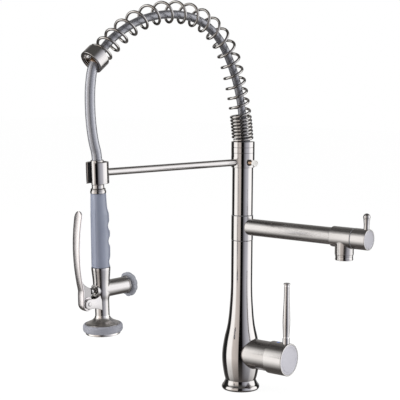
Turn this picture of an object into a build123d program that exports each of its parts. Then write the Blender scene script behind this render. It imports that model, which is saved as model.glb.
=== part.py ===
from build123d import *
from math import cos, pi, radians, sin, sqrt, tan
import os

# Pull-out kitchen faucet with a spring arch, a swinging spout and a hand spray.
# Millimetres. +Z is up, the origin is the centre of the base in the deck plane,
# +X is the valve's side and the spout's parked side, and the user stands at -Y.

os.makedirs("parts", exist_ok=True)

# Clearances
running_gap = 0.06
seat_gap = 0.04
washer_gap = 0.03
body_gap = 0.3
edge = 0.5

# Base and bottle-shaped body
gasket_outer = 28.4
gasket_inner = 20.0
gasket_height = 1.5
flange_lift = 0.4
flange_radius = 30.0
flange_top = 15.5
waist_radius = 24.4
belly_radius = 29.9
belly_height = 52.0
body_radius = 16.8
body_top = 238.4
insert_radius = 17.0
insert_thread = 14.5
insert_height = 27.0
inlet_radius = 4.6
inlet_offset = 6.5
inlet_depth = 22.0
water_radius = 8.6

# Mixing valve, places along its own axis from the body's axis
valve_height = 59.5
housing_radius = 23.2
housing_end = 58.8
bore_start = 22.0
bore_radius = 17.7
cartridge_shoulder = 50.0
cartridge_neck = 15.0
cartridge_end = 61.8
port_radius = 2.6
rotor_radius = 10.95
rotor_flange = 12.95
rotor_start = 38.1
rotor_step = 46.0
rotor_end = 64.0
tilt_position = 59.0
tilt_pin_radius = 1.5
stem_size = 6.0
stem_start = 50.0
stem_end = 87.0
stem_slot = 11.4

# Turning and tilting handle
cap_radius = 25.4
cap_mouth = 24.3
cap_cavity = 23.0
cap_floor = 78.0
cap_end = 92.1
cap_rim = 24.2
cap_hub = 7.0
cap_hub_start = 68.5
disc_radius = 23.4
disc_seat = 90.4
disc_face = 91.9
lever_position = 85.5
lever_seat = 24.4
lever_foot = 5.6
lever_stud = 3.0
lever_top = 120.0
index_position = 71.5
index_radius = 2.8
index_seat = 24.2
grub_position = 84.0
grub_radius = 2.0

# Swivel ring, spout and its turning shut-off
washer_height = 0.7
core_radius = 13.4
core_neck = 12.4
core_reach = 24.0
ring_radius = 17.1
spout_height = body_top + 21.9
ring_top = spout_height + 18.2
seal_wire = 0.66
spout_radius = 13.0
spout_bore = 10.6
head_radius = 15.4
head_start = 166.5
head_end = 202.6
head_wall = 194.0
tube_end = 178.0
outlet_position = 186.0
outlet_radius = 14.1
outlet_bottom = spout_height - 25.8
aerator_radius = 13.5
aerator_bottom = outlet_bottom - 8.0
aerator_thread = 11.0
aerator_bore = 9.5
tap_start = 203.5
tap_end = 227.7
tap_radius = 15.6
tap_disc = 14.2
pin_position = 222.8
pin_top = 38.8
pin_crown = 5.4
spindle_radius = 5.5
spindle_end = 218.0

# Upper column and the collar's three rings
upper_radius = 16.3
upper_top = ring_top + 74.9
spigot_radius = 13.0
spigot_top = upper_top + 26.6
collar_radius = 18.2
arm_ring_bottom = upper_top + 0.1
arm_ring_top = arm_ring_bottom + 22.5
lock_ring_top = arm_ring_top + 8.6
collar_top = lock_ring_top + 8.8
guide_radius = 11.0
guide_top = collar_top + 7.6

# Arm, its clamp screw and the C-shaped holder
arm_azimuth = 259.0
arm_reach = 282.5
arm_height = arm_ring_bottom + 8.0
rod_radius = 5.3
rod_socket = 15.6
screw_turn = 82.0
screw_radius = 3.4
screw_recess = 4.4
knob_radius = 4.8
knob_start = 29.0
knob_end = 34.2
spray_lean = 2.2
holder_radius = 16.2
holder_bore = 12.6
holder_height = 30.4
holder_slot = 17.0

# Spring: close turns on the collar, then open turns over the arch
wire_diameter = 4.1
coil_radius = 15.0
wire_sides = 8
close_turns = 7
close_pitch = 5.3
open_turns = 18.5
open_swell = 0.17
open_skew = 0.31
open_ripple = 0.05
coil_foot = (0.6, collar_top)
coil_heading = 4.5
coil_arcs = ((127.4, 16.6), (112.1, 57.8), (147.5, 50.7), (38.7, -1.1))
coil_seat = 3.4
end_ring_length = 17.6
end_ring_bore = 14.2
end_ring_mouth = 16.6

# Hose inside the spring and the free hose under it
inner_hose = 6.1
gland_bottom = arm_height - 3.5
hose_bottom = arm_height + 2.5
hose_arcs = ((142.0, 33.0), (89.2, 47.1), (151.5, 46.2), (38.2, 20.4))
hose_stub = 5.0
outer_hose = 7.3
hose_lead = 9.0
hose_tail = 26.0
hose_seat = 11.0
hose_bow = ((0.065, 2.9), (0.155, 5.2), (0.27, 7.3), (0.41, 8.2), (0.57, 8.3), (0.73, 6.9), (0.88, 4.2))

# Hand spray: distance out from its own axis, and height from the holder's centre
ferrule_radius = 9.3
ferrule_top = 18.0
spray_neck = 8.9
spray_waist = -22.0
spray_bore = 5.0
core_tube = 8.0
flare_radius = 11.4
grip_top = spray_waist - 7.0
grip_bottom = grip_top - 106.5
grip_top_radius = 11.0
grip_bottom_radius = 13.5
palm_offset = 2.2
notch_radius = 12.0
notch_depth = 12.0
notch_rises = (59.0, 37.0, 7.0)
core_tube_bottom = grip_bottom - 10.5
valve_line = grip_bottom - 32.5
body_shoulder = 13.7
body_waist = 12.0
neck_radius = 10.4
neck_bottom = valve_line - 43.8
branch_radius = 12.0
branch_end = 46.0
boss_radius = 9.0
boss_end = 12.4
flow_knob_radius = 17.8
flow_knob_end = 54.5
flow_knob_face = 15.0
flow_knob_lobes = 10
flow_spindle = 4.5
spindle_depth = 5.5
nut_end = 13.9
nut_radius = 6.2
plunger_radius = 3.0
plunger_head = 4.7
plunger_neck = 17.3
plunger_face = 20.1
pivot_out = 27.5
pivot_up = valve_line - 16.2
pivot_radius = 2.4
ear_radius = 7.0
ear_inside = 4.4
ear_outside = 8.4
trigger_hub = 9.5
trigger_hub_half = 4.0
trigger_web_half = 3.4
trigger_nose = 20.35
blade_foot = (8.5, 19.2)
blade_middle = (14.3, 72.2)
blade_tip = (7.0, 133.2)
blade_thickness = 2.6
blade_half_top = 7.8
blade_half_foot = 5.6
bell_radius = 25.0
bell_shoulder = neck_bottom - 5.8
bumper_radius = 28.7
bumper_bottom = bell_shoulder - 11.1
face_radius = 22.5
face_top = bell_shoulder - 7.9
face_bottom = face_top - 4.5
spray_bottom = face_bottom - 2.2

# Directions of the arm and of the hand spray, which leans a little to the column
arm_cos = cos(radians(arm_azimuth))
arm_sin = sin(radians(arm_azimuth))
lean_cos = cos(radians(spray_lean))
lean_sin = sin(radians(spray_lean))
sideways = Vector(arm_sin, -arm_cos, 0)
arm_side = Plane(origin=(0, 0, 0), x_dir=(arm_cos, arm_sin, 0), z_dir=sideways)
dock = Vector(arm_reach * arm_cos, arm_reach * arm_sin, arm_height)
spray_out = Vector(arm_cos * lean_cos, arm_sin * lean_cos, -lean_sin)
spray_up = Vector(arm_cos * lean_sin, arm_sin * lean_sin, lean_cos)
spray_side = Plane(origin=dock, x_dir=spray_out, z_dir=sideways)
spray_level = Plane(origin=dock, x_dir=spray_out, z_dir=spray_up)
spray_axis = Axis(dock, spray_up)
valve_side = Plane(origin=(0, 0, valve_height), x_dir=(1, 0, 0), z_dir=(0, -1, 0))
valve_axis = Axis((0, 0, valve_height), (1, 0, 0))
valve_face = Plane(origin=(0, 0, valve_height), x_dir=(0, 1, 0), z_dir=(1, 0, 0))
spout_side = Plane(origin=(0, 0, spout_height), x_dir=(1, 0, 0), z_dir=(0, -1, 0))
spout_axis = Axis((0, 0, spout_height), (1, 0, 0))
spout_face = Plane(origin=(0, 0, spout_height), x_dir=(0, 1, 0), z_dir=(1, 0, 0))
cross_place = dock + spray_up * valve_line
cross_face = Plane(origin=cross_place, x_dir=sideways, z_dir=spray_out)
cross_axis = Axis(cross_place, spray_out)
screw_azimuth = radians(arm_azimuth + screw_turn)
screw_out = Vector(cos(screw_azimuth), sin(screw_azimuth), 0)
screw_face = Plane(origin=(0, 0, arm_height), x_dir=(0, 0, 1), z_dir=screw_out)
rod_face = Plane(origin=(0, 0, arm_height), x_dir=(0, 0, 1), z_dir=(arm_cos, arm_sin, 0))


def turned(outline, plane=Plane.XZ, axis=Axis.Z):
    """Solid of revolution of a closed outline of corners on a plane through the axis."""
    with BuildPart() as piece:
        with BuildSketch(plane):
            with BuildLine():
                Polyline(*outline, close=True)
            make_face()
        revolve(axis=axis)
    return piece


def ring_outline(inner, outer, bottom, top, bevel=edge):
    """Corners of a plain ring whose outer edges are bevelled."""
    return ((inner, bottom), (outer - bevel, bottom), (outer, bottom + bevel),
            (outer, top - bevel), (outer - bevel, top), (inner, top))


parts = {}


# Base

parts["deck_gasket"] = turned(((gasket_inner, 0), (gasket_outer, 0),
                               (gasket_outer, gasket_height), (gasket_inner, gasket_height)))

with BuildPart() as base_flange:
    with BuildSketch(Plane.XZ):
        with BuildLine():
            lip = ThreePointArc((flange_radius - 1.4, flange_lift), (flange_radius, 3.0),
                                (flange_radius - 0.9, 6.2))
            Spline(lip @ 1, (waist_radius + 1.2, flange_top - 3.8), (waist_radius, flange_top),
                   tangents=(lip % 1, (-0.1, 1)))
            Polyline((waist_radius, flange_top), (insert_radius + seat_gap, flange_top),
                     (insert_radius + seat_gap, flange_lift), (gasket_inner - seat_gap, flange_lift),
                     (gasket_inner - seat_gap, gasket_height), (gasket_outer + seat_gap, gasket_height),
                     (gasket_outer + seat_gap, flange_lift), lip @ 0)
        make_face()
    revolve(axis=Axis.Z)
parts["base_flange"] = base_flange

parts["shank_insert"] = turned(((insert_thread, 0), (insert_radius, 0), (insert_radius, insert_height),
                                (insert_thread, insert_height)))

# Bottle-shaped body with the valve housing, its water ways and inlets

ports = ((inlet_offset, -13.0), (-inlet_offset, -13.0), (0, 8.0))

with BuildPart() as faucet_body:
    with BuildSketch(Plane.XZ):
        with BuildLine():
            Spline((waist_radius, flange_top), (28.1, 32.0), (belly_radius, belly_height), (26.6, 81.0),
                   (22.2, 100.0), (18.1, 138.0), (body_radius, 176.0), tangents=((0.35, 1), (0, 1)))
            Polyline((body_radius, 176.0), (body_radius, body_top - edge), (body_radius - edge, body_top),
                     (0, body_top), (0, flange_top), (waist_radius, flange_top))
        make_face()
    revolve(axis=Axis.Z)
    with BuildSketch(valve_face):
        Circle(housing_radius)
    extrude(amount=housing_end)
    chamfer(faucet_body.edges().sort_by(Axis.X)[-1], length=edge)
    with BuildSketch(Plane.XY.offset(flange_top)):
        Circle(insert_radius + seat_gap)
    extrude(amount=insert_height - flange_top, mode=Mode.SUBTRACT)
    with BuildSketch(Plane.XY.offset(insert_height)):
        with Locations((inlet_offset, inlet_offset), (inlet_offset, -inlet_offset)):
            Circle(inlet_radius)
    extrude(amount=inlet_depth, mode=Mode.SUBTRACT)
    with BuildSketch(Plane.XY.offset(valve_height)):
        Circle(water_radius)
    extrude(amount=body_top - valve_height, mode=Mode.SUBTRACT)
    with BuildSketch(Plane.XY.offset(body_top - core_reach)):
        Circle(core_neck + seat_gap)
    extrude(amount=core_reach, mode=Mode.SUBTRACT)
    with BuildSketch(valve_face.offset(bore_start)):
        Circle(bore_radius)
    extrude(amount=housing_end, mode=Mode.SUBTRACT)
    with BuildSketch(valve_face.offset(inlet_offset)):
        with Locations(*ports):
            Circle(port_radius)
    extrude(amount=bore_start - inlet_offset, mode=Mode.SUBTRACT)
parts["faucet_body"] = faucet_body

# Mixing cartridge: its body, its nut, the rotor that turns and the pin that the stem tilts on

with BuildPart() as valve_cartridge:
    with BuildSketch(valve_side):
        with BuildLine():
            Polyline((bore_start, 0), (bore_start, bore_radius - seat_gap),
                     (cartridge_shoulder, bore_radius - seat_gap), (cartridge_shoulder, cartridge_neck),
                     (cartridge_end, cartridge_neck), (cartridge_end, rotor_radius + running_gap),
                     (rotor_step + washer_gap, rotor_radius + running_gap),
                     (rotor_step + washer_gap, rotor_flange + running_gap),
                     (rotor_start - washer_gap, rotor_flange + running_gap),
                     (rotor_start - washer_gap, 0), close=True)
        make_face()
    revolve(axis=valve_axis)
    with BuildSketch(valve_face.offset(bore_start)):
        with Locations(*ports):
            Circle(port_radius)
    extrude(amount=rotor_start - bore_start, mode=Mode.SUBTRACT)
parts["valve_cartridge"] = valve_cartridge

parts["cartridge_nut"] = turned(((cartridge_shoulder, cartridge_neck + seat_gap),
                                 (cartridge_shoulder, bore_radius - seat_gap),
                                 (housing_end - edge, bore_radius - seat_gap),
                                 (housing_end - edge, cartridge_neck + seat_gap)), valve_side, valve_axis)

with BuildPart() as valve_rotor:
    with BuildSketch(valve_side):
        with BuildLine():
            Polyline((rotor_start, 0), (rotor_start, rotor_flange), (rotor_step, rotor_flange),
                     (rotor_step, rotor_radius), (rotor_end, rotor_radius), (rotor_end, 0), close=True)
        make_face()
    revolve(axis=valve_axis)
    with BuildSketch(valve_face.offset(stem_start - edge)):
        Rectangle(stem_size + 2 * running_gap, stem_slot)
    extrude(amount=rotor_end - stem_start + edge, mode=Mode.SUBTRACT)
    with BuildSketch(valve_side):
        with Locations((tilt_position, 0)):
            Circle(tilt_pin_radius + seat_gap)
    extrude(amount=rotor_radius, both=True, mode=Mode.SUBTRACT)
parts["valve_rotor"] = valve_rotor

with BuildPart() as tilt_pin:
    with BuildSketch(valve_side):
        with Locations((tilt_position, 0)):
            Circle(tilt_pin_radius)
    extrude(amount=rotor_radius - 1.0, both=True)
parts["tilt_pin"] = tilt_pin

# Handle: stem, cap, end disc, index dot, grub screw and lever

with BuildPart() as cartridge_stem:
    with BuildSketch(valve_face.offset(stem_start)):
        Rectangle(stem_size, stem_size)
    extrude(amount=stem_end - stem_start)
    with BuildSketch(valve_side):
        with Locations((tilt_position, 0)):
            Circle(tilt_pin_radius + running_gap)
    extrude(amount=stem_size, both=True, mode=Mode.SUBTRACT)
parts["cartridge_stem"] = cartridge_stem

with BuildPart() as handle_cap:
    with BuildSketch(valve_side):
        with BuildLine():
            Polyline((tilt_position, cap_mouth), (tilt_position, cap_radius - edge),
                     (tilt_position + edge, cap_radius), (cap_end - 1.3, cap_radius), (cap_end, cap_rim),
                     (cap_end, disc_radius + seat_gap), (disc_seat, disc_radius + seat_gap),
                     (disc_seat, 0), (cap_hub_start, 0), (cap_hub_start, cap_hub), (cap_floor, cap_hub),
                     (cap_floor, cap_cavity), (cap_hub_start, cap_mouth), close=True)
        make_face()
    revolve(axis=valve_axis)
    with BuildSketch(valve_face.offset(cap_hub_start)):
        Rectangle(stem_size + 2 * seat_gap, stem_size + 2 * seat_gap)
    extrude(amount=stem_end - cap_hub_start, mode=Mode.SUBTRACT)
    with BuildSketch(Plane.XY.offset(valve_height + lever_seat)):
        with Locations((lever_position, 0)):
            Circle(lever_foot + seat_gap)
    extrude(amount=cap_radius, mode=Mode.SUBTRACT)
    with BuildSketch(Plane.XY.offset(valve_height + stem_size * 2)):
        with Locations((lever_position, 0)):
            Circle(lever_stud + seat_gap)
    extrude(amount=cap_radius, mode=Mode.SUBTRACT)
    with BuildSketch(Plane.XY.offset(valve_height + index_seat)):
        with Locations((index_position, 0)):
            Circle(index_radius + seat_gap)
    extrude(amount=cap_radius, mode=Mode.SUBTRACT)
    with BuildSketch(Plane.XY.offset(valve_height)):
        with Locations((grub_position, 0)):
            Circle(grub_radius + seat_gap)
    extrude(amount=-cap_radius, mode=Mode.SUBTRACT)
parts["handle_cap"] = handle_cap

parts["handle_disc"] = turned(((disc_seat, 0), (disc_seat, disc_radius), (disc_face, disc_radius),
                               (disc_face, 0)), valve_side, valve_axis)

with BuildPart() as handle_index:
    with BuildSketch(Plane.XY.offset(valve_height + index_seat)):
        with Locations((index_position, 0)):
            Circle(index_radius)
    extrude(amount=cap_radius - index_seat)
parts["handle_index"] = handle_index

with BuildPart() as handle_screw:
    with BuildSketch(Plane.XY.offset(valve_height - stem_size / 2)):
        with Locations((grub_position, 0)):
            Circle(grub_radius)
    extrude(amount=stem_size / 2 + 1.0 - cap_radius)
    with BuildSketch(Plane.XY.offset(valve_height + 1.0 - cap_radius)):
        with Locations((grub_position, 0)):
            RegularPolygon(1.2, 6)
    extrude(amount=2.5, mode=Mode.SUBTRACT)
parts["handle_screw"] = handle_screw

with BuildPart() as handle_lever:
    with BuildSketch(valve_side):
        with BuildLine():
            belly = Polyline((lever_position + 4.65, 34.6), (lever_position + 5.2, 44.0),
                             (lever_position + 5.7, 52.0), (lever_position + 5.85, 57.5),
                             (lever_position + 5.7, 66.0), (lever_position + 5.2, 80.0),
                             (lever_position + 4.55, 92.0), (lever_position + 4.3, 100.0),
                             (lever_position + 4.25, lever_top - 2.8))
            Polyline(belly @ 1, (lever_position + 5.0, lever_top - 2.2), (lever_position + 5.0, lever_top),
                     (lever_position, lever_top), (lever_position, stem_size * 2),
                     (lever_position + lever_stud, stem_size * 2), (lever_position + lever_stud, lever_seat),
                     (lever_position + lever_foot, lever_seat), (lever_position + lever_foot, 33.0),
                     belly @ 0)
        make_face()
    revolve(axis=Axis((lever_position, 0, 0), (0, 0, 1)))
parts["handle_lever"] = handle_lever

# Swivel core, its washers and seals

core_bottom = body_top - core_reach
core_top = ring_top + core_reach
seal_heights = (spout_height - 14.0, spout_height + 14.0)
groove_radius = core_radius - 2 * seal_wire - washer_gap

with BuildPart() as column_core:
    with BuildSketch(Plane.XZ):
        with BuildLine():
            Polyline((water_radius, core_bottom), (core_neck, core_bottom), (core_neck, body_top),
                     (core_radius, body_top), (core_radius, ring_top), (core_neck, ring_top),
                     (core_neck, core_top), (water_radius, core_top), close=True)
        make_face()
        for height in seal_heights:
            with Locations((core_radius, height)):
                Rectangle(2 * (core_radius - groove_radius), 2.4 * seal_wire, mode=Mode.SUBTRACT)
    revolve(axis=Axis.Z)
    with BuildSketch(spout_face):
        Circle(3.2)
    extrude(amount=core_radius * 2, both=True, mode=Mode.SUBTRACT)
parts["column_core"] = column_core

for name, height in (("lower_seal", seal_heights[0]), ("upper_seal", seal_heights[1])):
    with BuildPart() as seal:
        with BuildSketch(Plane.XZ):
            with Locations((core_radius - seal_wire, height)):
                RegularPolygon(seal_wire, 6)
        revolve(axis=Axis.Z)
    parts[name] = seal

for name, bottom in (("lower_washer", body_top), ("upper_washer", ring_top - washer_height)):
    parts[name] = turned(((core_radius + seat_gap, bottom), (upper_radius - edge, bottom),
                          (upper_radius - edge, bottom + washer_height),
                          (core_radius + seat_gap, bottom + washer_height)))

# Swivel ring and spout

with BuildPart() as spout_ring:
    with BuildSketch(Plane.XZ):
        with BuildLine():
            Polyline(*ring_outline(core_radius + running_gap, ring_radius,
                                   body_top + washer_height + washer_gap,
                                   ring_top - washer_height - washer_gap), close=True)
        make_face()
        with Locations((core_radius, spout_height)):
            Rectangle(2.8, spout_bore, mode=Mode.SUBTRACT)
    revolve(axis=Axis.Z)
    with BuildSketch(spout_face):
        Circle(spout_bore)
    extrude(amount=ring_radius + 1.0, mode=Mode.SUBTRACT)
parts["spout_ring"] = spout_ring

with BuildPart() as spout_tube:
    with BuildSketch(spout_face):
        Circle(spout_radius)
        Circle(spout_bore, mode=Mode.SUBTRACT)
    extrude(amount=tube_end)
    with BuildSketch(Plane.XY.offset(spout_height - spout_radius - 1.0)):
        Circle(ring_radius)
    extrude(amount=2 * spout_radius + 2.0, mode=Mode.SUBTRACT)
parts["spout_tube"] = spout_tube

with BuildPart() as spout_head:
    with BuildSketch(spout_side):
        with BuildLine():
            Polyline((head_start, spout_radius + seat_gap), (head_start, head_radius - 1.2),
                     (head_start + 1.2, head_radius), (head_end - edge, head_radius),
                     (head_end, head_radius - edge), (head_end, 0), (head_start, 0), close=True)
        make_face()
    revolve(axis=spout_axis)
    with BuildSketch(Plane.XY.offset(outlet_bottom)):
        with Locations((outlet_position, 0)):
            Circle(outlet_radius)
    extrude(amount=spout_height - outlet_bottom)
    with BuildSketch(spout_side):
        with BuildLine():
            Polyline((head_start, 0), (head_start, spout_radius + seat_gap),
                     (tube_end, spout_radius + seat_gap), (tube_end, spout_bore),
                     (head_wall, spout_bore), (head_wall, spindle_radius + running_gap),
                     (head_end, spindle_radius + running_gap), (head_end, 0), close=True)
        make_face()
    revolve(axis=spout_axis, mode=Mode.SUBTRACT)
    with BuildSketch(Plane.XY.offset(outlet_bottom)):
        with Locations((outlet_position, 0)):
            Circle(aerator_thread + seat_gap)
    extrude(amount=9.0, mode=Mode.SUBTRACT)
    with BuildSketch(Plane.XY.offset(outlet_bottom)):
        with Locations((outlet_position, 0)):
            Circle(7.0)
    extrude(amount=spout_height - outlet_bottom, mode=Mode.SUBTRACT)
parts["spout_head"] = spout_head

outlet_axis = Axis((outlet_position, 0, 0), (0, 0, 1))
outlet_side = Plane(origin=(outlet_position, 0, 0), x_dir=(1, 0, 0), z_dir=(0, -1, 0))

parts["aerator_housing"] = turned(((aerator_bore, aerator_bottom), (aerator_radius - 1.2, aerator_bottom),
                                   (aerator_radius, aerator_bottom + 1.2), (aerator_radius, outlet_bottom),
                                   (aerator_thread, outlet_bottom), (aerator_thread, outlet_bottom + 8.0),
                                   (aerator_bore, outlet_bottom + 8.0)), outlet_side, outlet_axis)

with BuildPart() as aerator_insert:
    with BuildSketch(Plane.XY.offset(aerator_bottom + 1.2)):
        with Locations((outlet_position, 0)):
            Circle(aerator_bore - seat_gap)
            with PolarLocations(5.4, 12):
                Rectangle(4.6, 1.0, mode=Mode.SUBTRACT)
    extrude(amount=7.0)
parts["aerator_insert"] = aerator_insert

parts["tap_seal"] = turned(((head_end, spindle_radius + running_gap), (head_end, head_radius - edge),
                            (tap_start - washer_gap, head_radius - edge),
                            (tap_start - washer_gap, spindle_radius + running_gap)), spout_side, spout_axis)

# Turning end of the spout that shuts its flow

parts["tap_spindle"] = turned(((head_wall - 3.5, 0), (head_wall - 3.5, 8.4),
                               (head_wall - washer_gap, 8.4), (head_wall - washer_gap, spindle_radius),
                               (spindle_end, spindle_radius), (spindle_end, 0)), spout_side, spout_axis)

with BuildPart() as tap_cap:
    with BuildSketch(spout_side):
        with BuildLine():
            Polyline((tap_start, spindle_radius + seat_gap), (tap_start, tap_radius - edge),
                     (tap_start + edge, tap_radius), (tap_end - 1.0, tap_radius),
                     (tap_end, tap_radius - 1.0), (tap_end, tap_disc + seat_gap),
                     (tap_end - 1.3, tap_disc + seat_gap), (tap_end - 1.3, 0), (spindle_end, 0),
                     (spindle_end, spindle_radius + seat_gap), close=True)
        make_face()
    revolve(axis=spout_axis)
    with BuildSketch(Plane.XY.offset(spout_height + tap_radius - 0.9)):
        with Locations((pin_position, 0)):
            Circle(4.2 + seat_gap)
    extrude(amount=5.0, mode=Mode.SUBTRACT)
    with BuildSketch(Plane.XY.offset(spout_height + 7.0)):
        with Locations((pin_position, 0)):
            Circle(2.5 + seat_gap)
    extrude(amount=tap_radius, mode=Mode.SUBTRACT)
parts["tap_cap"] = tap_cap

parts["tap_disc"] = turned(((tap_end - 1.3, 0), (tap_end - 1.3, tap_disc), (tap_end - 0.2, tap_disc),
                            (tap_end - 0.2, 0)), spout_side, spout_axis)

with BuildPart() as tap_pin:
    with BuildSketch(spout_side):
        with BuildLine():
            crown = CenterArc((pin_position, pin_top - pin_crown), pin_crown, -20, 110)
            shank = Line((pin_position + 4.2, tap_radius - 0.9), (pin_position + 4.1, 20.0))
            ThreePointArc(shank @ 1, (pin_position + 4.5, 26.0), crown @ 0)
            Polyline(crown @ 1, (pin_position, 7.0), (pin_position + 2.5, 7.0),
                     (pin_position + 2.5, tap_radius - 0.9), shank @ 0)
        make_face()
    revolve(axis=Axis((pin_position, 0, 0), (0, 0, 1)))
parts["tap_pin"] = tap_pin

# Upper column with the spigot that the arm turns on

clip_bottom = arm_ring_top + 0.1
clip_top = clip_bottom + 1.2
clip_groove = 1.2

with BuildPart() as upper_column:
    with BuildSketch(Plane.XZ):
        with BuildLine():
            Polyline((core_neck + seat_gap, ring_top), (upper_radius - edge, ring_top),
                     (upper_radius, ring_top + edge), (upper_radius, upper_top - edge),
                     (upper_radius - edge, upper_top), (spigot_radius, upper_top),
                     (spigot_radius, clip_bottom), (spigot_radius - clip_groove, clip_bottom),
                     (spigot_radius - clip_groove, clip_top), (spigot_radius, clip_top),
                     (spigot_radius, spigot_top), (water_radius, spigot_top), (water_radius, core_top),
                     (core_neck + seat_gap, core_top), close=True)
        make_face()
    revolve(axis=Axis.Z)
parts["upper_column"] = upper_column

parts["spigot_clip"] = turned(((spigot_radius - clip_groove + seat_gap, clip_bottom),
                               (spigot_radius + 1.8, clip_bottom), (spigot_radius + 1.8, clip_top),
                               (spigot_radius - clip_groove + seat_gap, clip_top)))

# Arm: swivel ring, lock ring, spring collar with its stop, and hose guide

with BuildPart() as arm_ring:
    with BuildSketch(Plane.XZ):
        with BuildLine():
            Polyline(*ring_outline(spigot_radius + running_gap, collar_radius, arm_ring_bottom,
                                   arm_ring_top), close=True)
        make_face()
    revolve(axis=Axis.Z)
    with BuildSketch(rod_face.offset(rod_socket)):
        Circle(rod_radius + seat_gap)
    extrude(amount=rod_socket, mode=Mode.SUBTRACT)
    with BuildSketch(screw_face):
        Circle(screw_radius + running_gap)
    extrude(amount=collar_radius, mode=Mode.SUBTRACT)
    with BuildSketch(screw_face.offset(collar_radius - 2.0)):
        Circle(screw_recess)
    extrude(amount=4.0, mode=Mode.SUBTRACT)
parts["arm_ring"] = arm_ring

parts["lock_ring"] = turned(((spigot_radius + 2.4, arm_ring_top), (collar_radius - edge, arm_ring_top),
                             (collar_radius, arm_ring_top + edge), (collar_radius, lock_ring_top - edge),
                             (collar_radius - edge, lock_ring_top), (guide_radius + seat_gap, lock_ring_top),
                             (guide_radius + seat_gap, spigot_top + 1.0),
                             (spigot_radius + 2.4, spigot_top + 1.0)))


def chain_end(start, heading, arcs):
    """Place and heading, in degrees from straight up, at the end of a chain of tangent arcs."""
    out, up = start
    for length, turn in arcs:
        first = radians(heading)
        heading += turn
        last = radians(heading)
        radius = length / radians(turn)
        out += radius * (cos(first) - cos(last))
        up += radius * (sin(last) - sin(first))
    return out, up, heading


def chain_frame(start, heading, arcs, distance):
    """Place, heading vector and inward normal at a distance along a chain of tangent arcs."""
    done = []
    for length, turn in arcs:
        share = min(length, max(distance, 0.001))
        done.append((share, turn * share / length))
        distance -= length
        if distance <= 0:
            break
    out, up, angle = chain_end(start, heading, done)
    ahead = Vector(sin(radians(angle)), cos(radians(angle)), 0)
    inward = Vector(cos(radians(angle)), -sin(radians(angle)), 0)
    return Vector(out, up, 0), ahead, inward


coil_length = sum(length for length, turn in coil_arcs)
open_length = coil_length - coil_seat - close_turns * close_pitch - wire_diameter / 2 - 0.1


def coil_travel(turn):
    """Distance along the arch at a number of turns: close turns, then a swelling and easing pitch."""
    if turn <= close_turns:
        return coil_seat + turn * close_pitch
    share = (turn - close_turns) / open_turns
    wave = open_swell * sin(2 * pi * share) / (2 * pi)
    wave += open_skew * (1 - cos(2 * pi * share)) / (4 * pi)
    wave += open_ripple * sin(4 * pi * share) / (4 * pi)
    return coil_seat + close_turns * close_pitch + open_length * (share - wave)


def coil_point(turn):
    """Wire centre at a number of turns, as a place in the model."""
    place, ahead, inward = chain_frame(coil_foot, coil_heading, coil_arcs, coil_travel(turn))
    angle = pi / 2 + 2 * pi * turn
    local = place + inward * (coil_radius * sin(angle)) + Vector(0, 0, coil_radius * cos(angle))
    return arm_side.from_local_coords(local)


def biarc(start, start_way, end, end_way):
    """Middle point and its direction of two tangent arcs between two points with directions."""
    chord = end - start
    both = start_way + end_way
    spread = 2 * (1 - start_way.dot(end_way))
    reach = (sqrt(chord.dot(both) ** 2 + spread * chord.dot(chord)) - chord.dot(both)) / spread
    before = start + start_way * reach
    after = end - end_way * reach
    return (before + after) * 0.5, (after - before).normalized()


coil_turns = close_turns + open_turns
knots = [half / 2 for half in range(round(2 * coil_turns) + 1)]
knot_points = [coil_point(turn) for turn in knots]
knot_ways = [(coil_point(turn + 0.02) - coil_point(turn - 0.02)).normalized() for turn in knots[1:-1]]
knot_ways = [-sideways] + knot_ways + [sideways]
wire_start = knot_points[0] + sideways * wire_diameter
wire_end = knot_points[-1] + sideways * wire_diameter

with BuildPart() as arch_spring:
    with BuildLine() as wire_path:
        Line(wire_start, knot_points[0])
        for index in range(len(knots) - 1):
            middle, middle_way = biarc(knot_points[index], knot_ways[index],
                                       knot_points[index + 1], knot_ways[index + 1])
            TangentArc(knot_points[index], middle, tangent=knot_ways[index])
            TangentArc(middle, knot_points[index + 1], tangent=middle_way)
        Line(knot_points[-1], wire_end)
    with BuildSketch(Plane(origin=wire_start, x_dir=(0, 0, 1), z_dir=-sideways)):
        RegularPolygon(wire_diameter / 2, wire_sides)
    sweep(path=wire_path.line, clean=False)
parts["arch_spring"] = arch_spring

stop_size = 2.4
stop_height = 4.0
start_local = arm_side.to_local_coords(wire_start)

with BuildPart() as spring_collar:
    with BuildSketch(Plane.XZ):
        with BuildLine():
            Polyline(*ring_outline(guide_radius + seat_gap, collar_radius, lock_ring_top,
                                   collar_top), close=True)
        make_face()
    revolve(axis=Axis.Z)
    with BuildSketch(Plane(origin=(0, 0, collar_top), x_dir=(arm_cos, arm_sin, 0), z_dir=(0, 0, 1))):
        with Locations((start_local.X, -start_local.Z - stop_size / 2)):
            Rectangle(stop_size, stop_size)
        Circle(collar_radius - edge, mode=Mode.INTERSECT)
    extrude(amount=stop_height)
parts["spring_collar"] = spring_collar

parts["hose_guide"] = turned(((inner_hose + seat_gap, spigot_top + 1.6), (guide_radius, spigot_top + 1.6),
                              (guide_radius, guide_top), (guide_radius - 2.0, guide_top),
                              (guide_radius - 2.0, lock_ring_top + 4.0),
                              (inner_hose + seat_gap, lock_ring_top + 4.0)))

# End ring of the spring, with the stop for the wire's upper end

end_out, end_up, end_heading = chain_end(coil_foot, coil_heading, coil_arcs)
end_way = Vector(arm_cos * sin(radians(end_heading)), arm_sin * sin(radians(end_heading)),
                 cos(radians(end_heading)))
end_place = arm_side.from_local_coords(Vector(end_out, end_up, 0))
end_face = Plane(origin=end_place, x_dir=-sideways, z_dir=end_way)
end_local = end_face.to_local_coords(wire_end)

end_side = Plane(origin=end_place, x_dir=end_way.cross(sideways), z_dir=sideways)

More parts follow.
